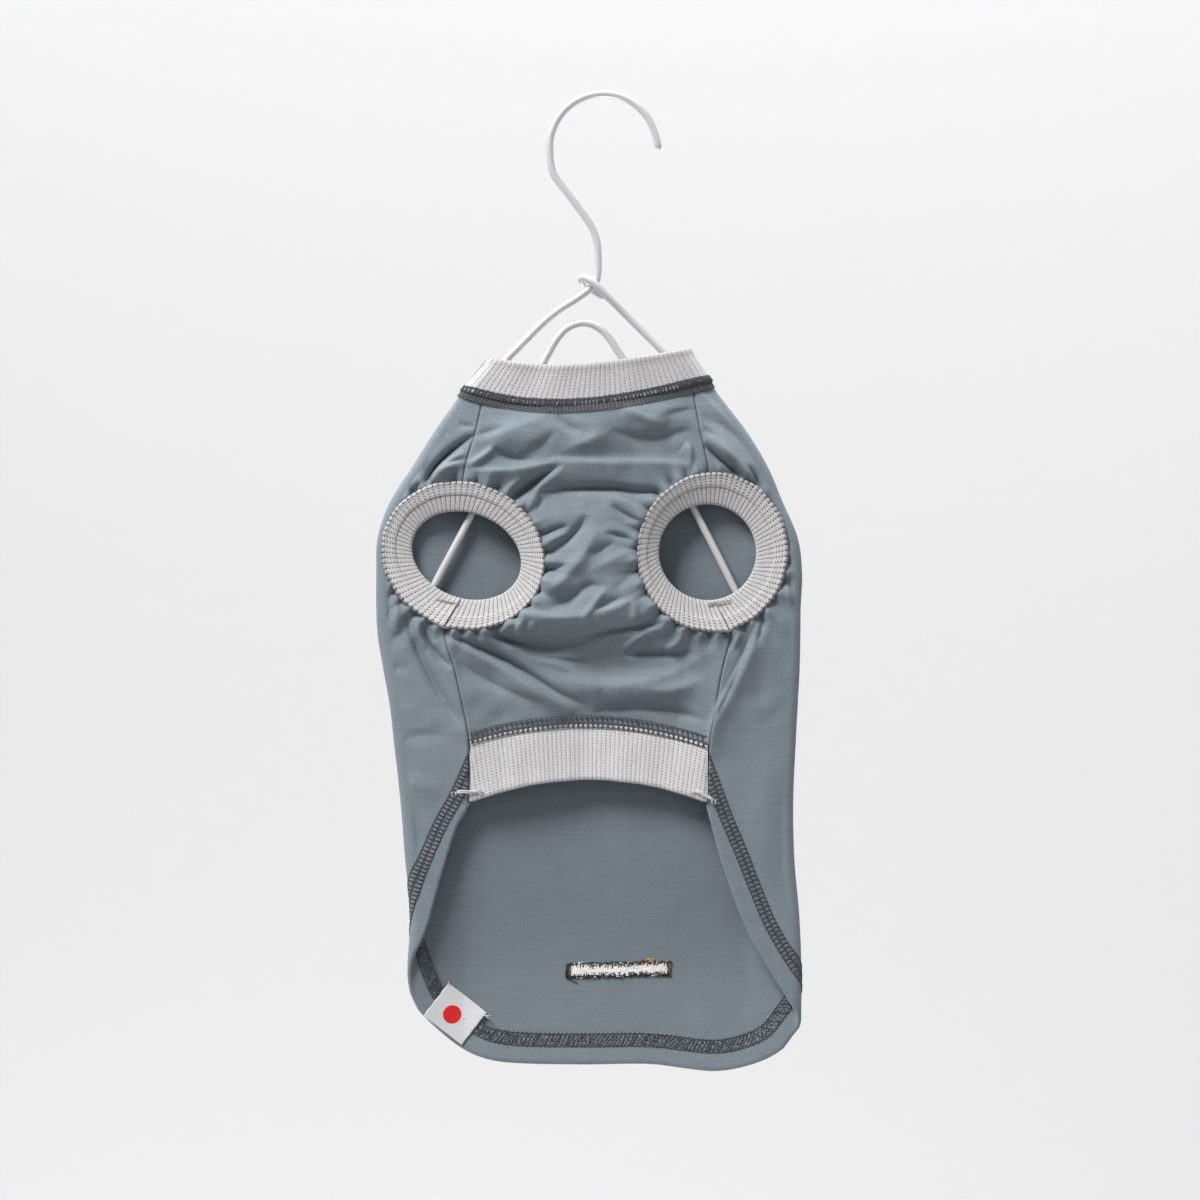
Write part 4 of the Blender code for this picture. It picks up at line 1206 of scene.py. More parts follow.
def collar_middle(round_share, down):
    """Middle of the collar band and the direction out of it; 0 to 0.5 is the belly side."""
    front = round_share <= 0.5
    share = np.where(front, round_share * 2, 2 - round_share * 2)
    crowded = (1 - np.cos(np.pi * share)) / 2
    lean = share + (crowded - share) * 0.75
    seam_x = NECK_SEAM.left_x + (NECK_SEAM.right_x - NECK_SEAM.left_x) * lean
    top_x = COLLAR_TOP.left_x + (COLLAR_TOP.right_x - COLLAR_TOP.left_x) * lean
    seam_z = np.where(front, edge_z(NECK_SEAM, seam_x), edge_z(NECK_SEAM_BACK, seam_x))
    top_z = np.where(front, edge_z(COLLAR_TOP, top_x), edge_z(COLLAR_TOP_BACK, top_x))
    x = top_x + (seam_x - top_x) * down
    z = top_z + (seam_z + COLLAR_GAP - top_z) * down
    wide_top = COLLAR_TOP.right_x - COLLAR_TOP.left_x
    wide_seam = NECK_SEAM.right_x - NECK_SEAM.left_x
    half_width = (wide_top + (wide_seam - wide_top) * down) / 2
    past = np.maximum(1 - np.minimum(lean, 1 - lean) * 2 * half_width / FOLD_REACH, 0)
    bow = np.where(front, along(BODY, "z", "bow", z), BACK_BOW) * 4 * lean * (1 - lean)
    y = (FOLD_DEPTH + (RIB - JERSEY) / 2) * np.sqrt(1 - past * past) + bow
    side = np.where(front, -1, 1)
    out_x = np.where(lean < 0.5, -past, past)
    out_y = side * np.sqrt(1 - past * past)
    return x, side * y, z, out_x, out_y


def even_share(line):
    """A function that spaces shares evenly along a line, from one given unevenly."""
    share = np.linspace(0, 1, 2001)
    points = line(share)
    steps = np.hypot(np.diff(points[0]), np.diff(points[1]))
    length = np.concatenate([[0], np.cumsum(steps)])
    return lambda even: np.interp(even * length[-1], length, share)


def folded_band(section):
    """Of a band folded double: the share from its cut edges to its fold, the turn round the
    fold, and how deep its wales stand, which is less on the inside."""
    from_cut = np.minimum(np.minimum(section, 1 - section) / BAND_LAYER, 1)
    roll = np.clip((section - BAND_LAYER) / (1 - 2 * BAND_LAYER), 0, 1) * np.pi
    return from_cut, roll, np.where(section > 1 - BAND_LAYER, 0.6, 1)


def collar_place(across, section):
    even = even_share(lambda share: collar_middle(share, np.full(len(share), 0.6)))
    wale = across * COLLAR_WALES
    from_cut, roll, relief = folded_band(section)
    down = 1 - from_cut
    half = RIB / 2 + relief * wale_relief(wale) + 0.3 * np.exp(-(down / 0.10) ** 2)
    x, y, z, out_x, out_y = collar_middle(even(across), down)
    wave = 0.25 * np.sin(math.tau * 6 * across) + 0.2 * np.sin(math.tau * 11 * across + 2)
    out = np.cos(roll) * half + wave * (1 - down)
    z = z + np.sin(roll) * half
    points = np.stack([x + out_x * out, y + out_y * out, z], axis=1)
    return points, np.stack([wale, section * COLLAR_CHART], axis=1)


def sew_collar():
    band = cloth_grid("collar_band", COLLAR_WALES * WALE_COLUMNS, COLLAR_ROUND, collar_place,
                      shaded_collar_knit, weld=True)
    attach(band, "root")
    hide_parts("collar_rib")


sew_collar()


# === Belly rib ================================================================================
# A straight band of rib, folded along its lower edge and sewn to the belly panel and into the
# side seams. The shirt stays open below it.

BELLY_WALES = 52
BELLY_RIB_ROUND = 48
BELLY_RIB_CHART = 56.0


def belly_rib_place(across, section):
    down, roll, relief = folded_band(section)
    x = BELLY_RIB_EDGE.left_x + 0.15 + (
        BELLY_RIB_EDGE.right_x - BELLY_RIB_EDGE.left_x - 0.3) * across
    # The wales draw a little closer together towards the fold.
    wale = BELLY_WALES * (0.5 + (across - 0.5) / (1 - 0.072 * down))
    half = RIB / 2 + relief * wale_relief(wale) + 0.2 * np.exp(-((1 - down) / 0.12) ** 2)
    end = np.minimum(across, 1 - across) * BELLY_WALES
    half = half * (1 - 0.65 * np.exp(-(end / 0.5) ** 2))
    top, bottom = edge_z(BELLY_SEAM, x) - 0.3, edge_z(BELLY_RIB_EDGE, x)
    z = top + (bottom - top) * down
    wave = 0.25 * np.sin(math.tau * 4 * across + 1) + 0.15 * np.sin(math.tau * 9 * across)
    y = belly_y(x, z) - (RIB - JERSEY) / 2 - np.cos(roll) * half + wave * down
    z = z - np.sin(roll) * half + 0.2 * wave * down
    return np.stack([x, y, z], axis=1), np.stack([wale, section * BELLY_RIB_CHART], axis=1)


def sew_belly_rib():
    band = cloth_grid("belly_rib_band", BELLY_WALES * WALE_COLUMNS, BELLY_RIB_ROUND,
                      belly_rib_place, rib_knit, weld=True)
    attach(band, "root")
    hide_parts("belly_rib")


sew_belly_rib()


# === Coverstitching ===========================================================================
# Charcoal thread. A flat coverstitch with two rows of open cells closes the hem, the neck
# seam and the belly rib's seam. Inside the hem its loops cross in a dense net.

THREAD = 0.19            # radius of the plied thread
STITCH = 1.9             # stitch length
NECK_STITCH = 1.55
NECK_DENSE_FROM = 31     # x past which more threads lie over the neck seam
RIB_STITCH = 2.1
RIB_RUNG = 2.75          # height of the belly rib's stitches above its seam
HEM_STITCH_INSET = 9.4   # from the hem's edge to the middle of its stitching
HEM_RUN_ON = 26          # how far the hem's edge is followed past each side seam
STITCH_HALF_WIDTH = 2.6
CORNER_ROUND = 241       # tenths of a millimetre over which the hem's stitching is rounded

dice = random.Random(5)


def thread_finish(name, colour):
    thread, tree, shader = principled(name, colour, 0.75, {
        "Sheen Weight": 0.3, "Sheen Roughness": 0.4})
    ply = noise(tree, 2600, 2)
    shade_colour(tree, shader, colour, fitted(tree, ply, 0.3, 0.7, 0.7, 1.35))
    raise_surface(tree, shader, ply, 0.5, 0.0001)
    return thread


charcoal_thread = thread_finish("charcoal thread", (0.060, 0.064, 0.072))
grey_thread = thread_finish("charcoal-grey thread", (0.105, 0.110, 0.125))
pale_thread = thread_finish("pale thread", (0.66, 0.65, 0.63))


class Course:
    """A stitched course: a middle line in the round-way and height plane, at an even step."""

    def __init__(self, way, z, step=0.1):
        length = np.concatenate([[0], np.cumsum(np.hypot(np.diff(way), np.diff(z)))])
        self.along = np.arange(0, length[-1], step)
        self.way = np.interp(self.along, length, way)
        self.z = np.interp(self.along, length, z)
        run_way, run_z = np.gradient(self.way), np.gradient(self.z)
        size = np.hypot(run_way, run_z)
        self.run_way, self.run_z = run_way / size, run_z / size

    def at(self, along, across):
        """Round-way and height at a distance along the course and across it."""
        run_way = np.interp(along, self.along, self.run_way)
        run_z = np.interp(along, self.along, self.run_z)
        return (np.interp(along, self.along, self.way) - run_z * across,
                np.interp(along, self.along, self.z) + run_way * across)


def hem_course():
    """The middle of the hem's stitching, from before one side seam to past the other."""
    fine = np.linspace(0, 1, 1601)
    z = panel_hem(fine)
    way = panel_way(fine, z)
    before = np.linspace(-HEM_RUN_ON, 0, 60)[:-1]
    after = np.linspace(0, HEM_RUN_ON, 60)[1:]
    way = np.concatenate([way[0] + 0.55 * before, way, way[-1] + 0.44 * after])
    z = np.concatenate([z[0] - 0.83 * before, z, z[-1] + 0.90 * after])
    edge = Course(way, z)
    edge.run_way, edge.run_z = (rounded_off(run, 101) for run in (edge.run_way, edge.run_z))
    from_left = np.maximum(edge.along - HEM_RUN_ON, 0)
    from_right = np.maximum(edge.along[-1] - HEM_RUN_ON - edge.along, 0)
    # Towards both side seams the stitching comes closer to the hem's edge.
    narrowing = 4.2 * np.exp(-(from_left / 38) ** 2) + 4.0 * np.exp(-(from_right / 20) ** 2)
    way, z = edge.at(edge.along, HEM_STITCH_INSET - narrowing)
    return Course(*(rounded_off(line, CORNER_ROUND) for line in (way, z)))


def inside_seams(way, z):
    """Whether a point of the back panel is clear of both side seams."""
    return (way > seam_way(z, -1) + 0.3) & (way < seam_way(z, 1) - 0.3)


def kept_runs(points, kept):
    """Splits a line where it isn't kept."""
    runs = [[]]
    for point, keep in zip(points, kept):
        if keep:
            runs[-1].append(point)
        else:
            runs.append([])
    return [run for run in runs if len(run) > 1]


def hem_stitches(course):
    """Open double cells outside the hem, and the net of loops inside it."""
    lines, net = [], []
    length = course.along[-1]

    def sewn(threads, along, across, out):
        along, across = np.asarray(along, float), np.asarray(across, float)
        way, z = course.at(along, across)
        points = shirt_point(way, z, np.broadcast_to(out, along.shape))
        threads.extend(kept_runs(points, inside_seams(way, z)))

    outside, inside = JERSEY / 2 + 0.12, -(JERSEY / 2 + 2 * HEM_ROLL + 0.12)
    # The threads along the cells, and then a leaning rung and a knot on each side of each.
    fine = np.arange(0, length, STITCH / 6)
    for across in (STITCH_HALF_WIDTH, 0.22, -0.12, -STITCH_HALF_WIDTH):
        sewn(lines, fine, across * (1 - 0.05 * abs(np.sin(math.tau * fine / STITCH))), outside)
    bulge = np.array([0.0, 0.28, 0.34, 0.28, 0.0])
    for number in range(int(length / STITCH)):
        start = number * STITCH + dice.uniform(-0.08, 0.08)
        for side in (-1, 1):
            across = side * np.linspace(0.1, STITCH_HALF_WIDTH - 0.05, 5)
            rung = start + 0.5 * STITCH + 0.25 * side + bulge
            sewn(lines, rung, across, outside + 0.06)
            sewn(lines, rung + 0.30, across, outside)
            knot = np.array([-0.3, 0.0, 0.3])
            sewn(lines, rung[-1] + knot, side * (STITCH_HALF_WIDTH + 0.2 - abs(knot)), outside)
    # The net is zigzag rows side by side, one wide zigzag over them, and a line at each edge.
    for row, pitch, swing in ((-1.75, 0.85, 0.6), (-0.4, 0.8, 0.65), (0.8, 0.9, 0.7),
                              (1.95, 0.85, 0.6)):
        along = np.arange(0, length, pitch)
        jitter = np.array([dice.uniform(-0.34, 0.34) for _ in along])
        across = row + swing * np.where(np.arange(len(along)) % 2, 1, -1) + jitter
        sewn(net, along + jitter, across, inside - 0.05)
    along = np.arange(0, length, 2.3)
    jitter = np.array([dice.uniform(-0.4, 0.4) for _ in along])
    across = (STITCH_HALF_WIDTH - 0.3) * np.where(np.arange(len(along)) % 2, 1, -1)
    sewn(lines, along + jitter, across + jitter, inside)
    sag = np.where(np.arange(len(fine)) % 6 < 3, 0.12, -0.12)
    sewn(lines, fine, sag - STITCH_HALF_WIDTH, inside - 0.04)
    sewn(net, fine, STITCH_HALF_WIDTH - sag, inside - 0.04)
    return lines, net


def smooth_step(value):
    value = np.clip(value, 0, 1)
    return value * value * (3 - 2 * value)


def belly_rib_seam_point(x, across):
    """On the belly rib's seam: across is below the seam, on the rib, where it is negative."""
    z = edge_z(BELLY_SEAM, x) - 0.15 + across
    proud = 1.85 - 0.85 * smooth_step((across + 0.5) / 1.4)
    return np.stack([x, belly_y(x, z) - proud, z], axis=1)


def belly_rib_stitches():
    lines = []
    left, right = BELLY_SEAM.left_x + 0.4, BELLY_SEAM.right_x - 0.4
    fine = np.arange(left, right, RIB_STITCH / 6)
    beat = np.cos(math.tau * (fine - left) / RIB_STITCH)
    for across, arch in ((2.85, 0.22), (0.10, 0.06), (-0.12, 0.06), (-1.95, 0.12)):
        lines.append(belly_rib_seam_point(fine, across + arch * beat))
    for number in range(int((right - left) / RIB_STITCH)):
        x = left + (number + 0.5) * RIB_STITCH + dice.uniform(-0.1, 0.1)
        rung = np.linspace(0, RIB_RUNG, 5)
        lean = 0.22 * rung + 0.14 * np.sin(math.pi * rung / RIB_RUNG)
        lines.append(belly_rib_seam_point(x - lean, rung))
        if dice.random() < 0.3:
            lines.append(belly_rib_seam_point(x + 0.22 - lean, rung))
        reach = -dice.uniform(1.9, 2.1)
        bar = np.linspace(0, reach, 4)
        lines.append(belly_rib_seam_point(x + 0.05 * bar, bar))
        lines.append(belly_rib_seam_point(x + 0.16 + 0.02 * bar, bar * dice.uniform(0.7, 1)))
    return lines


def neck_seam_point(share, across):
    """On the neck seam, as shares round it: across is above the seam, on the rib."""
    x_top, _, z_top, _, _ = collar_middle(share, np.zeros(len(share)))
    x_seam, _, z_seam, _, _ = collar_middle(share, np.ones(len(share)))
    height = np.hypot(x_top - x_seam, z_top - z_seam)
    x, y, z, out_x, out_y = collar_middle(share, 1 - across / height)
    proud = 0.32 + (RIB / 2 + 0.12) * smooth_step((across + 0.9) / 1.1)
    x, y = x + out_x * proud, y + out_y * proud
    on_belly = (share < 0.5) & (across < 0) & (abs(out_x) < 0.7)
    if on_belly.any():
        cloth = belly_y(x[on_belly], z[on_belly]) - JERSEY / 2 - 0.2
        y[on_belly] = np.minimum(y[on_belly], cloth)
    return np.stack([x, y, z], axis=1)


def neck_stitches():
    """Dark bars over the rib above the seam, and a greyer net of loops on the jersey below."""
    bars, net = [], []
    even = even_share(lambda share: collar_middle(share, np.ones(len(share))))
    steps = np.linspace(0, 1, 12001)
    ticks = even(steps)
    points = collar_middle(ticks, np.ones(len(ticks)))
    length = np.hypot(np.diff(points[0]), np.diff(points[1])).sum()

    def at(along, across):
        share = np.interp((np.asarray(along, float) / length) % 1, steps, ticks)
        return neck_seam_point(share, np.broadcast_to(across, share.shape))

    fine = np.linspace(0, length * 0.99999, 560)
    beat = np.cos(math.tau * fine / NECK_STITCH)
    for across in (0.0, 2.25, 2.6):
        bars.append(at(fine, across + 0.1 * beat))
    for across, swing in ((-0.5, 0.12), (-1.1, 0.15), (-1.7, 0.10), (-2.4, 0.15), (-3.1, 0.2)):
        net.append(at(fine, across + swing * beat))
    for number in range(int(length / NECK_STITCH)):
        start = number * NECK_STITCH + dice.uniform(-0.15, 0.15)
        reach = dice.uniform(2.6, 3.1)
        lean = dice.uniform(-0.12, 0.12)
        bar = np.linspace(0, reach, 4)
        bars.append(at(start + lean * bar, bar))
        bars.append(at(start + 0.36 + lean * bar * 0.5, bar * dice.uniform(0.75, 1.0)))
        knot = start + np.array([-0.35, 0.1, 0.55])
        bars.append(at(knot, reach + np.array([-0.5, 0.05, -0.45])))
        if dice.random() < 0.4:
            bars.append(at(start + 0.7 - lean * bar, bar * dice.uniform(0.6, 0.9)))
        if at([start], [0.0])[0][0] > NECK_DENSE_FROM:
            for offset in (0.7, 1.1):
                bars.append(at(start + offset + lean * bar, bar * dice.uniform(0.8, 1.05)))
        loop = np.linspace(-0.2, -3.0, 6)
        for offset in (-0.22, 0.22):
            net.append(at(start + offset + 0.10 * np.sin(loop * 2), loop))
    return bars, net


def side_seam_threads():
    """The thread that shows in each side seam, from the neck to the belly rib's lower edge."""
    lines = []
    for side, gaps in ((-1, ((-128, -163), (-224, -294))), (1, ((-125, -159), (-224, -294)))):
        for top, bottom in gaps:
            z = np.arange(top, bottom, -0.5)
            x = side_seams(z)[side > 0]
            y = belly_y(x, z) + 0.15
            lines.append(np.stack([x, y, z], axis=1))
    return lines


def sew_threads(name, lines, radius, finish):
    threads = joined_threads(name, lines, radius, 1, finish)
    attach(threads, "root")


def sew_coverstitching():
    neck_bars, neck_net = neck_stitches()
    hem_bars, hem_net = hem_stitches(hem_course())
    for name, lines, radius, thread in (
            ("hem_stitching", hem_bars, THREAD * 1.25, charcoal_thread),
            ("hem_net", hem_net, THREAD * 1.1, charcoal_thread),
            ("side_seam_threads", side_seam_threads(), THREAD, charcoal_thread),
            ("belly_rib_stitching", belly_rib_stitches(), THREAD * 1.1, charcoal_thread),
            ("neck_stitching", neck_bars, THREAD * 1.1, charcoal_thread),
            ("neck_net", neck_net, THREAD * 1.15, grey_thread)):
        sew_threads(name, lines, radius, thread)


sew_coverstitching()


# === Tacks and thread ends ====================================================================
# Dense little bars of thread hold the belly rib's corners and the joints of the leg rings. A
# few threads were left long when they were trimmed.

TACK_ROWS = 7
TACK_PITCH = 0.18
# Both ends of the tack at each corner of the belly rib, and along each ring's joint.
RIB_TACKS = (((-61.8, -291.2), (-50.2, -290.9)), ((37.6, -290.4), (46.8, -294.6)))
JOINT_TACKS = (((-69.6, -209.9), (-60.6, -211.9)), ((53.4, -210.4), (43.6, -211.8)))


def loose_end(x, y, z, bends):
    """A thread end that wanders off from a point, by steps in x, y and z."""
    points = [(x, y, z)]
    for dx, dy, dz in bends:
        x, y, z = x + dx, y + dy, z + dz
        points.append((x, y, z))
    return bent_line(points, 0.5)


def rib_corner_tacks():
    lines = []
    for start, end in RIB_TACKS:
        middle_x = (start[0] + end[0]) / 2
        y = float(belly_y(np.array([middle_x]), np.array([start[1]]))[0]) - 2.0
        away = (end[0] - start[0], end[1] - start[1])
        for number in range(TACK_ROWS):
            lift = -0.55 + TACK_PITCH * number
            first, last = dice.uniform(0.0, 0.12), dice.uniform(0.86, 1.0)
            share = np.linspace(first, last, 6)
            wave = 0.12 * np.sin(share * 9 + number)
            lines.append(np.stack([start[0] + away[0] * share,
                                   np.full(6, y - 0.15 * (number % 3)),
                                   start[1] + away[1] * share + lift + wave], axis=1))
        for foot, reach in ((end, 0.9), (start, 0.7)):
            lines.append(loose_end(foot[0], y, foot[1], (
                (dice.uniform(-0.5, 0.5), -0.2, -reach), (dice.uniform(-0.6, 0.6), 0, -reach))))
            lines.append(loose_end(foot[0] - 1.2, y, foot[1], (
                (-0.3, -0.2, -reach), (0.5, 0, -0.6 * reach))))
    return lines


def ring_joint_tacks():
    """Where a ring's ends overlap, a grey zigzag between two straight threads runs along
    the hole."""
    lines = []
    count = 30
    for (start_x, start_z), (end_x, end_z) in JOINT_TACKS:
        way = np.linspace(0, 1, count)
        x, z = start_x + (end_x - start_x) * way, start_z + (end_z - start_z) * way
        y = -half_depth(x, z, along(BODY, "z", "bow", z)) + RING_DIP - 2.5
        swing = np.where(np.arange(count) % 2, 1, -1) * (0.25 + 0.45 * way)
        lines.append(np.stack([x, y, z - 0.8 + swing], axis=1))
        for drop in (0.15, 0.75):
            lines.append(np.stack([x, y - 0.1, z - 0.5 - drop * (0.5 + way)], axis=1))
    return lines


def ring_seam_and_shadow_threads():
    """A charcoal thread along the overlap's edge marks its seam and is also a painted shadow,
    a dark line where the overlap's step casts shade. At the outer edge of a ring the thread of
    its seam shows between the wales."""
    lines = []
    across = np.linspace(0.02, 0.82, 40)
    lift = 1.25 + 0.5 / (1 + np.exp((across - RING_LEDGE) / 0.04))
    rim = np.array([-0.02, 0.01, 0.04, 0.08])
    rise = 0.1 + 1.68 * np.sqrt(1 - (1 - np.clip(rim / RIM_ROLL, 0, 1)) ** 2)
    for ring in RINGS:
        # Painted shadow: this thread along the overlap's step stands for the shade the step
        # casts, and for its seam.
        share = (0.05 + 0.10 * np.sin(across * 5)) / ring.wales
        lines.append(ring_point(ring, share, across, lift))
        for wale in range(ring.wales):
            lines.append(ring_point(ring, np.full(len(rim), wale / ring.wales), rim, rise))
    return lines


def sew_tacks():
    for name, lines, radius, thread in (
            ("rib_corner_tacks", rib_corner_tacks(), 0.22, pale_thread),
            ("ring_joint_tacks", ring_joint_tacks(), 0.17,
             thread_finish("grey thread", (0.40, 0.40, 0.41))),
            ("ring_joint_and_shadow_threads", ring_seam_and_shadow_threads(), 0.16, charcoal_thread)):
        sew_threads(name, lines, radius, thread)


sew_tacks()


# === Flag label ===============================================================================
# A small white woven tape with a red disc, cut hot and tacked over the hem inside the back's
# left corner, askew. It is left plain but for the disc. A thread end sticks out at one corner.

Label = namedtuple("Label", "x z width height slant")
LABEL = Label(-62.4, -385.5, 20.4, 17.0, math.radians(-38))
TAPE = 0.28              # thickness of the woven tape
DISC = 7.6
DISC_PROUD = 0.20        # from the middle of the tape to the middle of the disc
DISC_THICKNESS = 0.10
DISC_X = -0.9            # the disc's middle, from the label's
DISC_Z = -0.8


def woven_tape(name, colour):
    tape, tree, shader = principled(name, colour, 0.65, {
        "Sheen Weight": 0.05, "Specular IOR Level": 0.2})
    chart = cloth_chart(tree)
    weave = worked_out(tree, "ADD", fine_bands(tree, chart, "X", 0.30, 0.4, 2),
                       fine_bands(tree, chart, "Y", 0.36, 0.4, 2))
    shade_colour(tree, shader, colour, fitted(tree, weave, 0, 2, 0.94, 1.0))
    raise_surface(tree, shader, weave, 0.3, 0.00005)
    return tape


def label_point(across, up, proud):
    """A point of the label from its own middle, standing proud of the back's inside."""
    x = LABEL.x + across * math.cos(LABEL.slant) - up * math.sin(LABEL.slant)
    z = LABEL.z + across * math.sin(LABEL.slant) + up * math.cos(LABEL.slant)
    height_share = up / LABEL.height + 0.5
    tilt = 0.35 * np.clip(height_share, 0, 1)
    curl = 0.5 * np.exp(-((across / LABEL.width - 0.5) / 0.18) ** 2) * height_share
    y = shirt_point(x - BACK_MIDDLE, z)[:, 1] - 2.05 + tilt - curl - proud
    return np.stack([x, y, z], axis=1)


def label_place(share, down):
    ragged = 0.10 * np.sin(21 * down) * (abs(share - 0.5) > 0.49)
    across = (share - 0.5) * LABEL.width + ragged
    up = (0.5 - down) * LABEL.height
    return label_point(across, up, 0), np.stack([across, up], axis=1)


def sew_tape():
    white = woven_tape("white tape", (0.77, 0.77, 0.79))
    tape = cloth_grid("flag_tape", 44, 36, label_place, white)
    give_thickness(tape, TAPE)
    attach(tape, "root")
    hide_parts("flag_label")


def weave_disc():
    """The red disc, a hair proud of the tape, in a mesh of its own with a fine rim."""
    mesh = bpy.data.meshes.new("flag_disc")
    disc = bmesh.new()
    bmesh.ops.create_circle(disc, cap_ends=True, segments=96, radius=0.5)
    rim = list(disc.edges)
    bmesh.ops.inset_region(disc, faces=disc.faces, thickness=0.03)
    bmesh.ops.poke(disc, faces=[face for face in disc.faces if len(face.verts) > 4])
    layer = disc.loops.layers.uv.new("cloth")
    flat = np.array([tuple(vertex.co) for vertex in disc.verts]) * DISC
    points = label_point(DISC_X + flat[:, 0], DISC_Z + flat[:, 1], DISC_PROUD)
    for vertex, point, at in zip(disc.verts, points, flat):
        for loop in vertex.link_loops:
            loop[layer].uv = at[:2]
        vertex.co = Vector(point) * MM
    for edge in rim:
        edge.smooth = True
    disc.to_mesh(mesh)
    disc.free()
    mesh.materials.append(woven_tape("red weave", (0.80, 0.024, 0.026)))
    red = into_scene("flag_disc", mesh)
    give_thickness(red, DISC_THICKNESS)
    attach(red, "root")


def tack_label():
    """Loose ends of the thread that tacks the label, at two of its corners."""
    corner = label_point(np.array([10.0]), np.array([7.2]), 0.2)[0]
    ends = [bent_line([corner, corner + (1.2, -0.4, -0.3), corner + (2.4, -0.5, -0.2)], 0.4),
            bent_line([corner, corner + (1.1, -0.2, -0.9), corner + (2.0, -0.6, -1.3)], 0.4)]
    other = label_point(np.array([-9.9]), np.array([8.3]), 0.2)[0]
    ends.append(bent_line([other, other + (0.1, -0.3, 0.5), other + (-0.3, -0.2, 1.0)], 0.3))
    tails = joined_threads("label_thread_ends", ends, 0.17, 1,
                           thread_finish("white thread", (0.75, 0.75, 0.76)))
    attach(tails, "root")


sew_tape()
weave_disc()
tack_label()


# === Embroidery ===============================================================================
# A dense satin-stitched bar low on the back. Inside, the shirt shows its ragged reverse: pale
# bobbin threads with charcoal and a few yellow loops along the edges, and one loose tail.

BAR_X = 6.5              # the middle of the stitched bar, and its length
BAR_Z = -367.3
BAR_LENGTH = 43.5
BAR_LEFT = BAR_X - BAR_LENGTH / 2
BAR_RIGHT = BAR_X + BAR_LENGTH / 2
BAR_TILT = 0.018         # how far its reverse climbs to the right, of its length
FILL_ROWS = 42
FILL_HEIGHT = 4.8
SATIN_PITCH = 0.26
BORDER_PITCH = 0.55


def bar_point(x, z, proud):
    """On the inside of the back for a positive proud, on its outside for a negative one."""
    x, z = np.asarray(x, float), np.asarray(z, float)
    proud = np.broadcast_to(proud, x.shape)
    return shirt_point(x - BACK_MIDDLE, z, -np.sign(proud) * (JERSEY / 2 + np.abs(proud)))


def level(x):
    """Height of the middle of the bar's reverse, with one small hump near its right end."""
    return BAR_Z + BAR_TILT * (x - BAR_X) + 0.5 * np.exp(-((x - BAR_RIGHT + 8) / 4) ** 2)


def bobbin_rows():
    """Rows of long pale floats that fill the bar on its reverse."""
    pale = []
    for number in range(FILL_ROWS):
        z = FILL_HEIGHT * (number / (FILL_ROWS - 1) - 0.5)
        start = BAR_LEFT + 1.5 + dice.uniform(0, 1.6)
        while start < BAR_RIGHT - 1.5:
            length = dice.uniform(4, 10)
            x = np.linspace(start, min(start + length, BAR_RIGHT - 0.8), 6)
            sway = dice.uniform(-0.15, 0.15)
            proud = 0.22 + 0.12 * np.sin(x * 2 + number) ** 2
            pale.append(bar_point(x, level(x) + z + sway * np.sin(x), proud))
            start += length - 0.4
    return pale


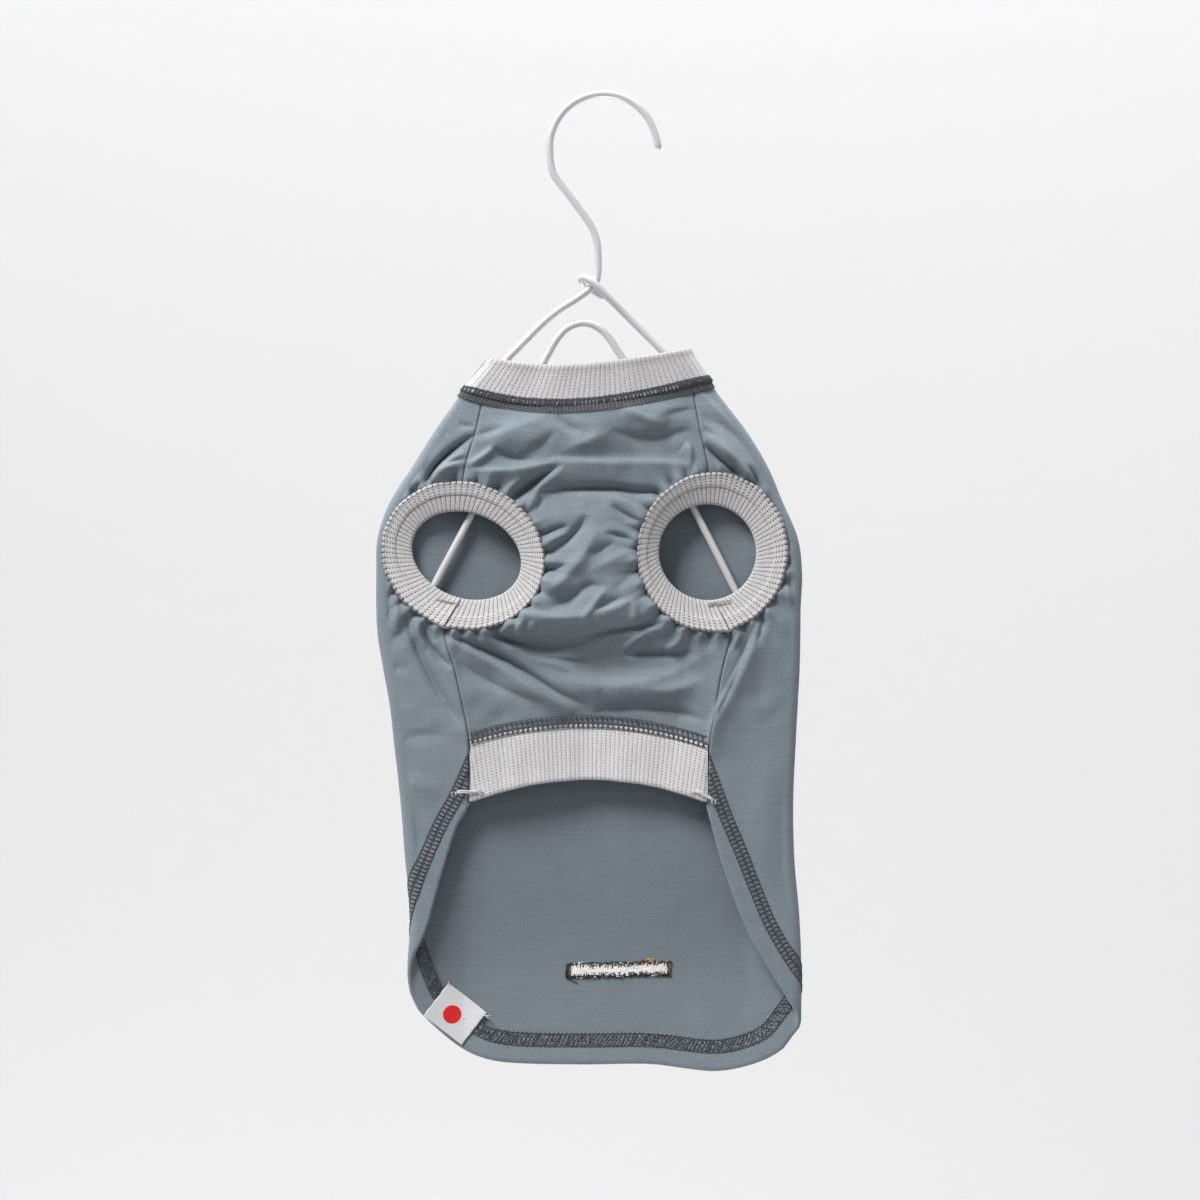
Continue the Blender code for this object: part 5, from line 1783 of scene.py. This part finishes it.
def embroider_inside():
    pale, dark, yellow = bobbin_rows(), [], []
    # Ragged loops along both edges, with jabs towards the middle.
    for edge, reach in ((1, 2.9), (-1, 2.8), (1, 3.2), (-1, 3.3)):
        start = BAR_LEFT
        while start < BAR_RIGHT:
            step = dice.uniform(0.3, 1.1)
            rise = reach + dice.uniform(-0.7, 0.5)
            x = start + np.linspace(0, step * 1.5, 6)
            loop = np.sin(np.linspace(0, math.pi, 6)) * dice.uniform(0.2, 0.9)
            strand = bar_point(x, level(x) + edge * (rise - loop), dice.uniform(0.25, 0.6))
            colour = dark if dice.random() < 0.86 else yellow if dice.random() < 0.3 else pale
            colour.append(strand)
            if dice.random() < 0.6:
                depth = dice.uniform(0.5, 1.9)
                z = level(x[0]) + edge * (rise - np.linspace(0, depth, 4))
                jab = x[0] + np.linspace(0, dice.uniform(-0.7, 0.7), 4)
                dark.append(bar_point(jab, z, 0.5))
            start += step
    # Upright loops at both ends, a knot of threads on the hump, and a few strays.
    for end in (BAR_LEFT + 0.4, BAR_RIGHT - 0.6):
        for number in range(8):
            z = level(end) + np.linspace(-2.6, 2.6, 5) + dice.uniform(-0.4, 0.4)
            x = end + dice.uniform(-0.7, 0.7) + 0.4 * np.sin(z * 3 + number)
            (dark if number % 4 else yellow).append(bar_point(x, z, dice.uniform(0.3, 0.65)))
    for number in range(9):
        x = BAR_RIGHT - 9.5 + np.linspace(0, 2.4, 6) + dice.uniform(-0.8, 0.8)
        z = level(x) + 3.4 + 0.9 * np.sin(np.linspace(0, 5, 6) + number)
        (dark if number % 2 else yellow).append(bar_point(x, z, dice.uniform(0.4, 0.9)))
    for number in range(8):
        start = dice.uniform(BAR_LEFT + 1, BAR_RIGHT - 2)
        x = np.linspace(start, start + dice.uniform(0.8, 2.2), 5)
        z = level(x) - 1.2 + dice.uniform(-0.7, 0.5) + 0.2 * np.sin(x * 2)
        (yellow if number % 2 else dark).append(bar_point(x, z, 0.48))
    # The loose tail hangs from a knot at the left end.
    tail = np.linspace(0, 1, 9)
    foot = level(BAR_LEFT)
    dark.append(bar_point(BAR_LEFT - 0.6 + 5.2 * tail ** 1.6,
                          foot - 1.6 - 4.6 * tail + 0.9 * tail ** 2, 0.4))
    dark.append(bar_point(BAR_LEFT + 0.8 * np.cos(tail * 5),
                          foot - 1.2 + 1.0 * np.sin(tail * 5), 0.55))
    return pale, dark, yellow


def embroider_outside():
    """Upright satin stitches, each leaning a little, and a border along both edges."""
    satin, border = [], []
    proud = 0.05 + (0.30 * np.cos(np.linspace(-1.3, 1.3, 7))).mean()
    for number in range(int(BAR_LENGTH / SATIN_PITCH)):
        rise = np.linspace(-2.3, 2.3, 7)
        x = BAR_LEFT + number * SATIN_PITCH + 0.13 * rise
        satin.append(bar_point(x, BAR_Z + rise, -proud))
    for edge in (-1, 1):
        for number in range(int(BAR_LENGTH / BORDER_PITCH)):
            x = BAR_LEFT + number * BORDER_PITCH + np.linspace(0, 0.75, 4)
            z = BAR_Z + edge * (2.35 + 0.22 * np.sin(np.linspace(0, math.pi, 4)))
            border.append(bar_point(x, z, -0.42))
    return satin, border


def embroider():
    cream = thread_finish("cream embroidery thread", (0.92, 0.89, 0.86))
    black_thread = thread_finish("black embroidery thread", (0.022, 0.024, 0.028))
    mustard = thread_finish("mustard embroidery thread", (0.70, 0.45, 0.12))
    pale, dark, yellow = embroider_inside()
    for name, lines, radius, finish in (
            ("embroidery_reverse", pale, 0.15, cream),
            ("embroidery_reverse_edges", dark, 0.17, black_thread),
            ("embroidery_reverse_loops", yellow, 0.15, mustard)):
        piece = joined_threads(name, lines, radius, 1, finish)
        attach(piece, "root")
        if name == "embroidery_reverse":
            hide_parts("embroidery_inside")
    satin, border = embroider_outside()
    front = joined_threads("embroidery_bar", satin, 0.17, 1, cream)
    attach(front, "root")
    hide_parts("embroidery_outside")
    rim = joined_threads("embroidery_bar_border", border, 0.2, 1, charcoal_thread)
    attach(rim, "root")


embroider()
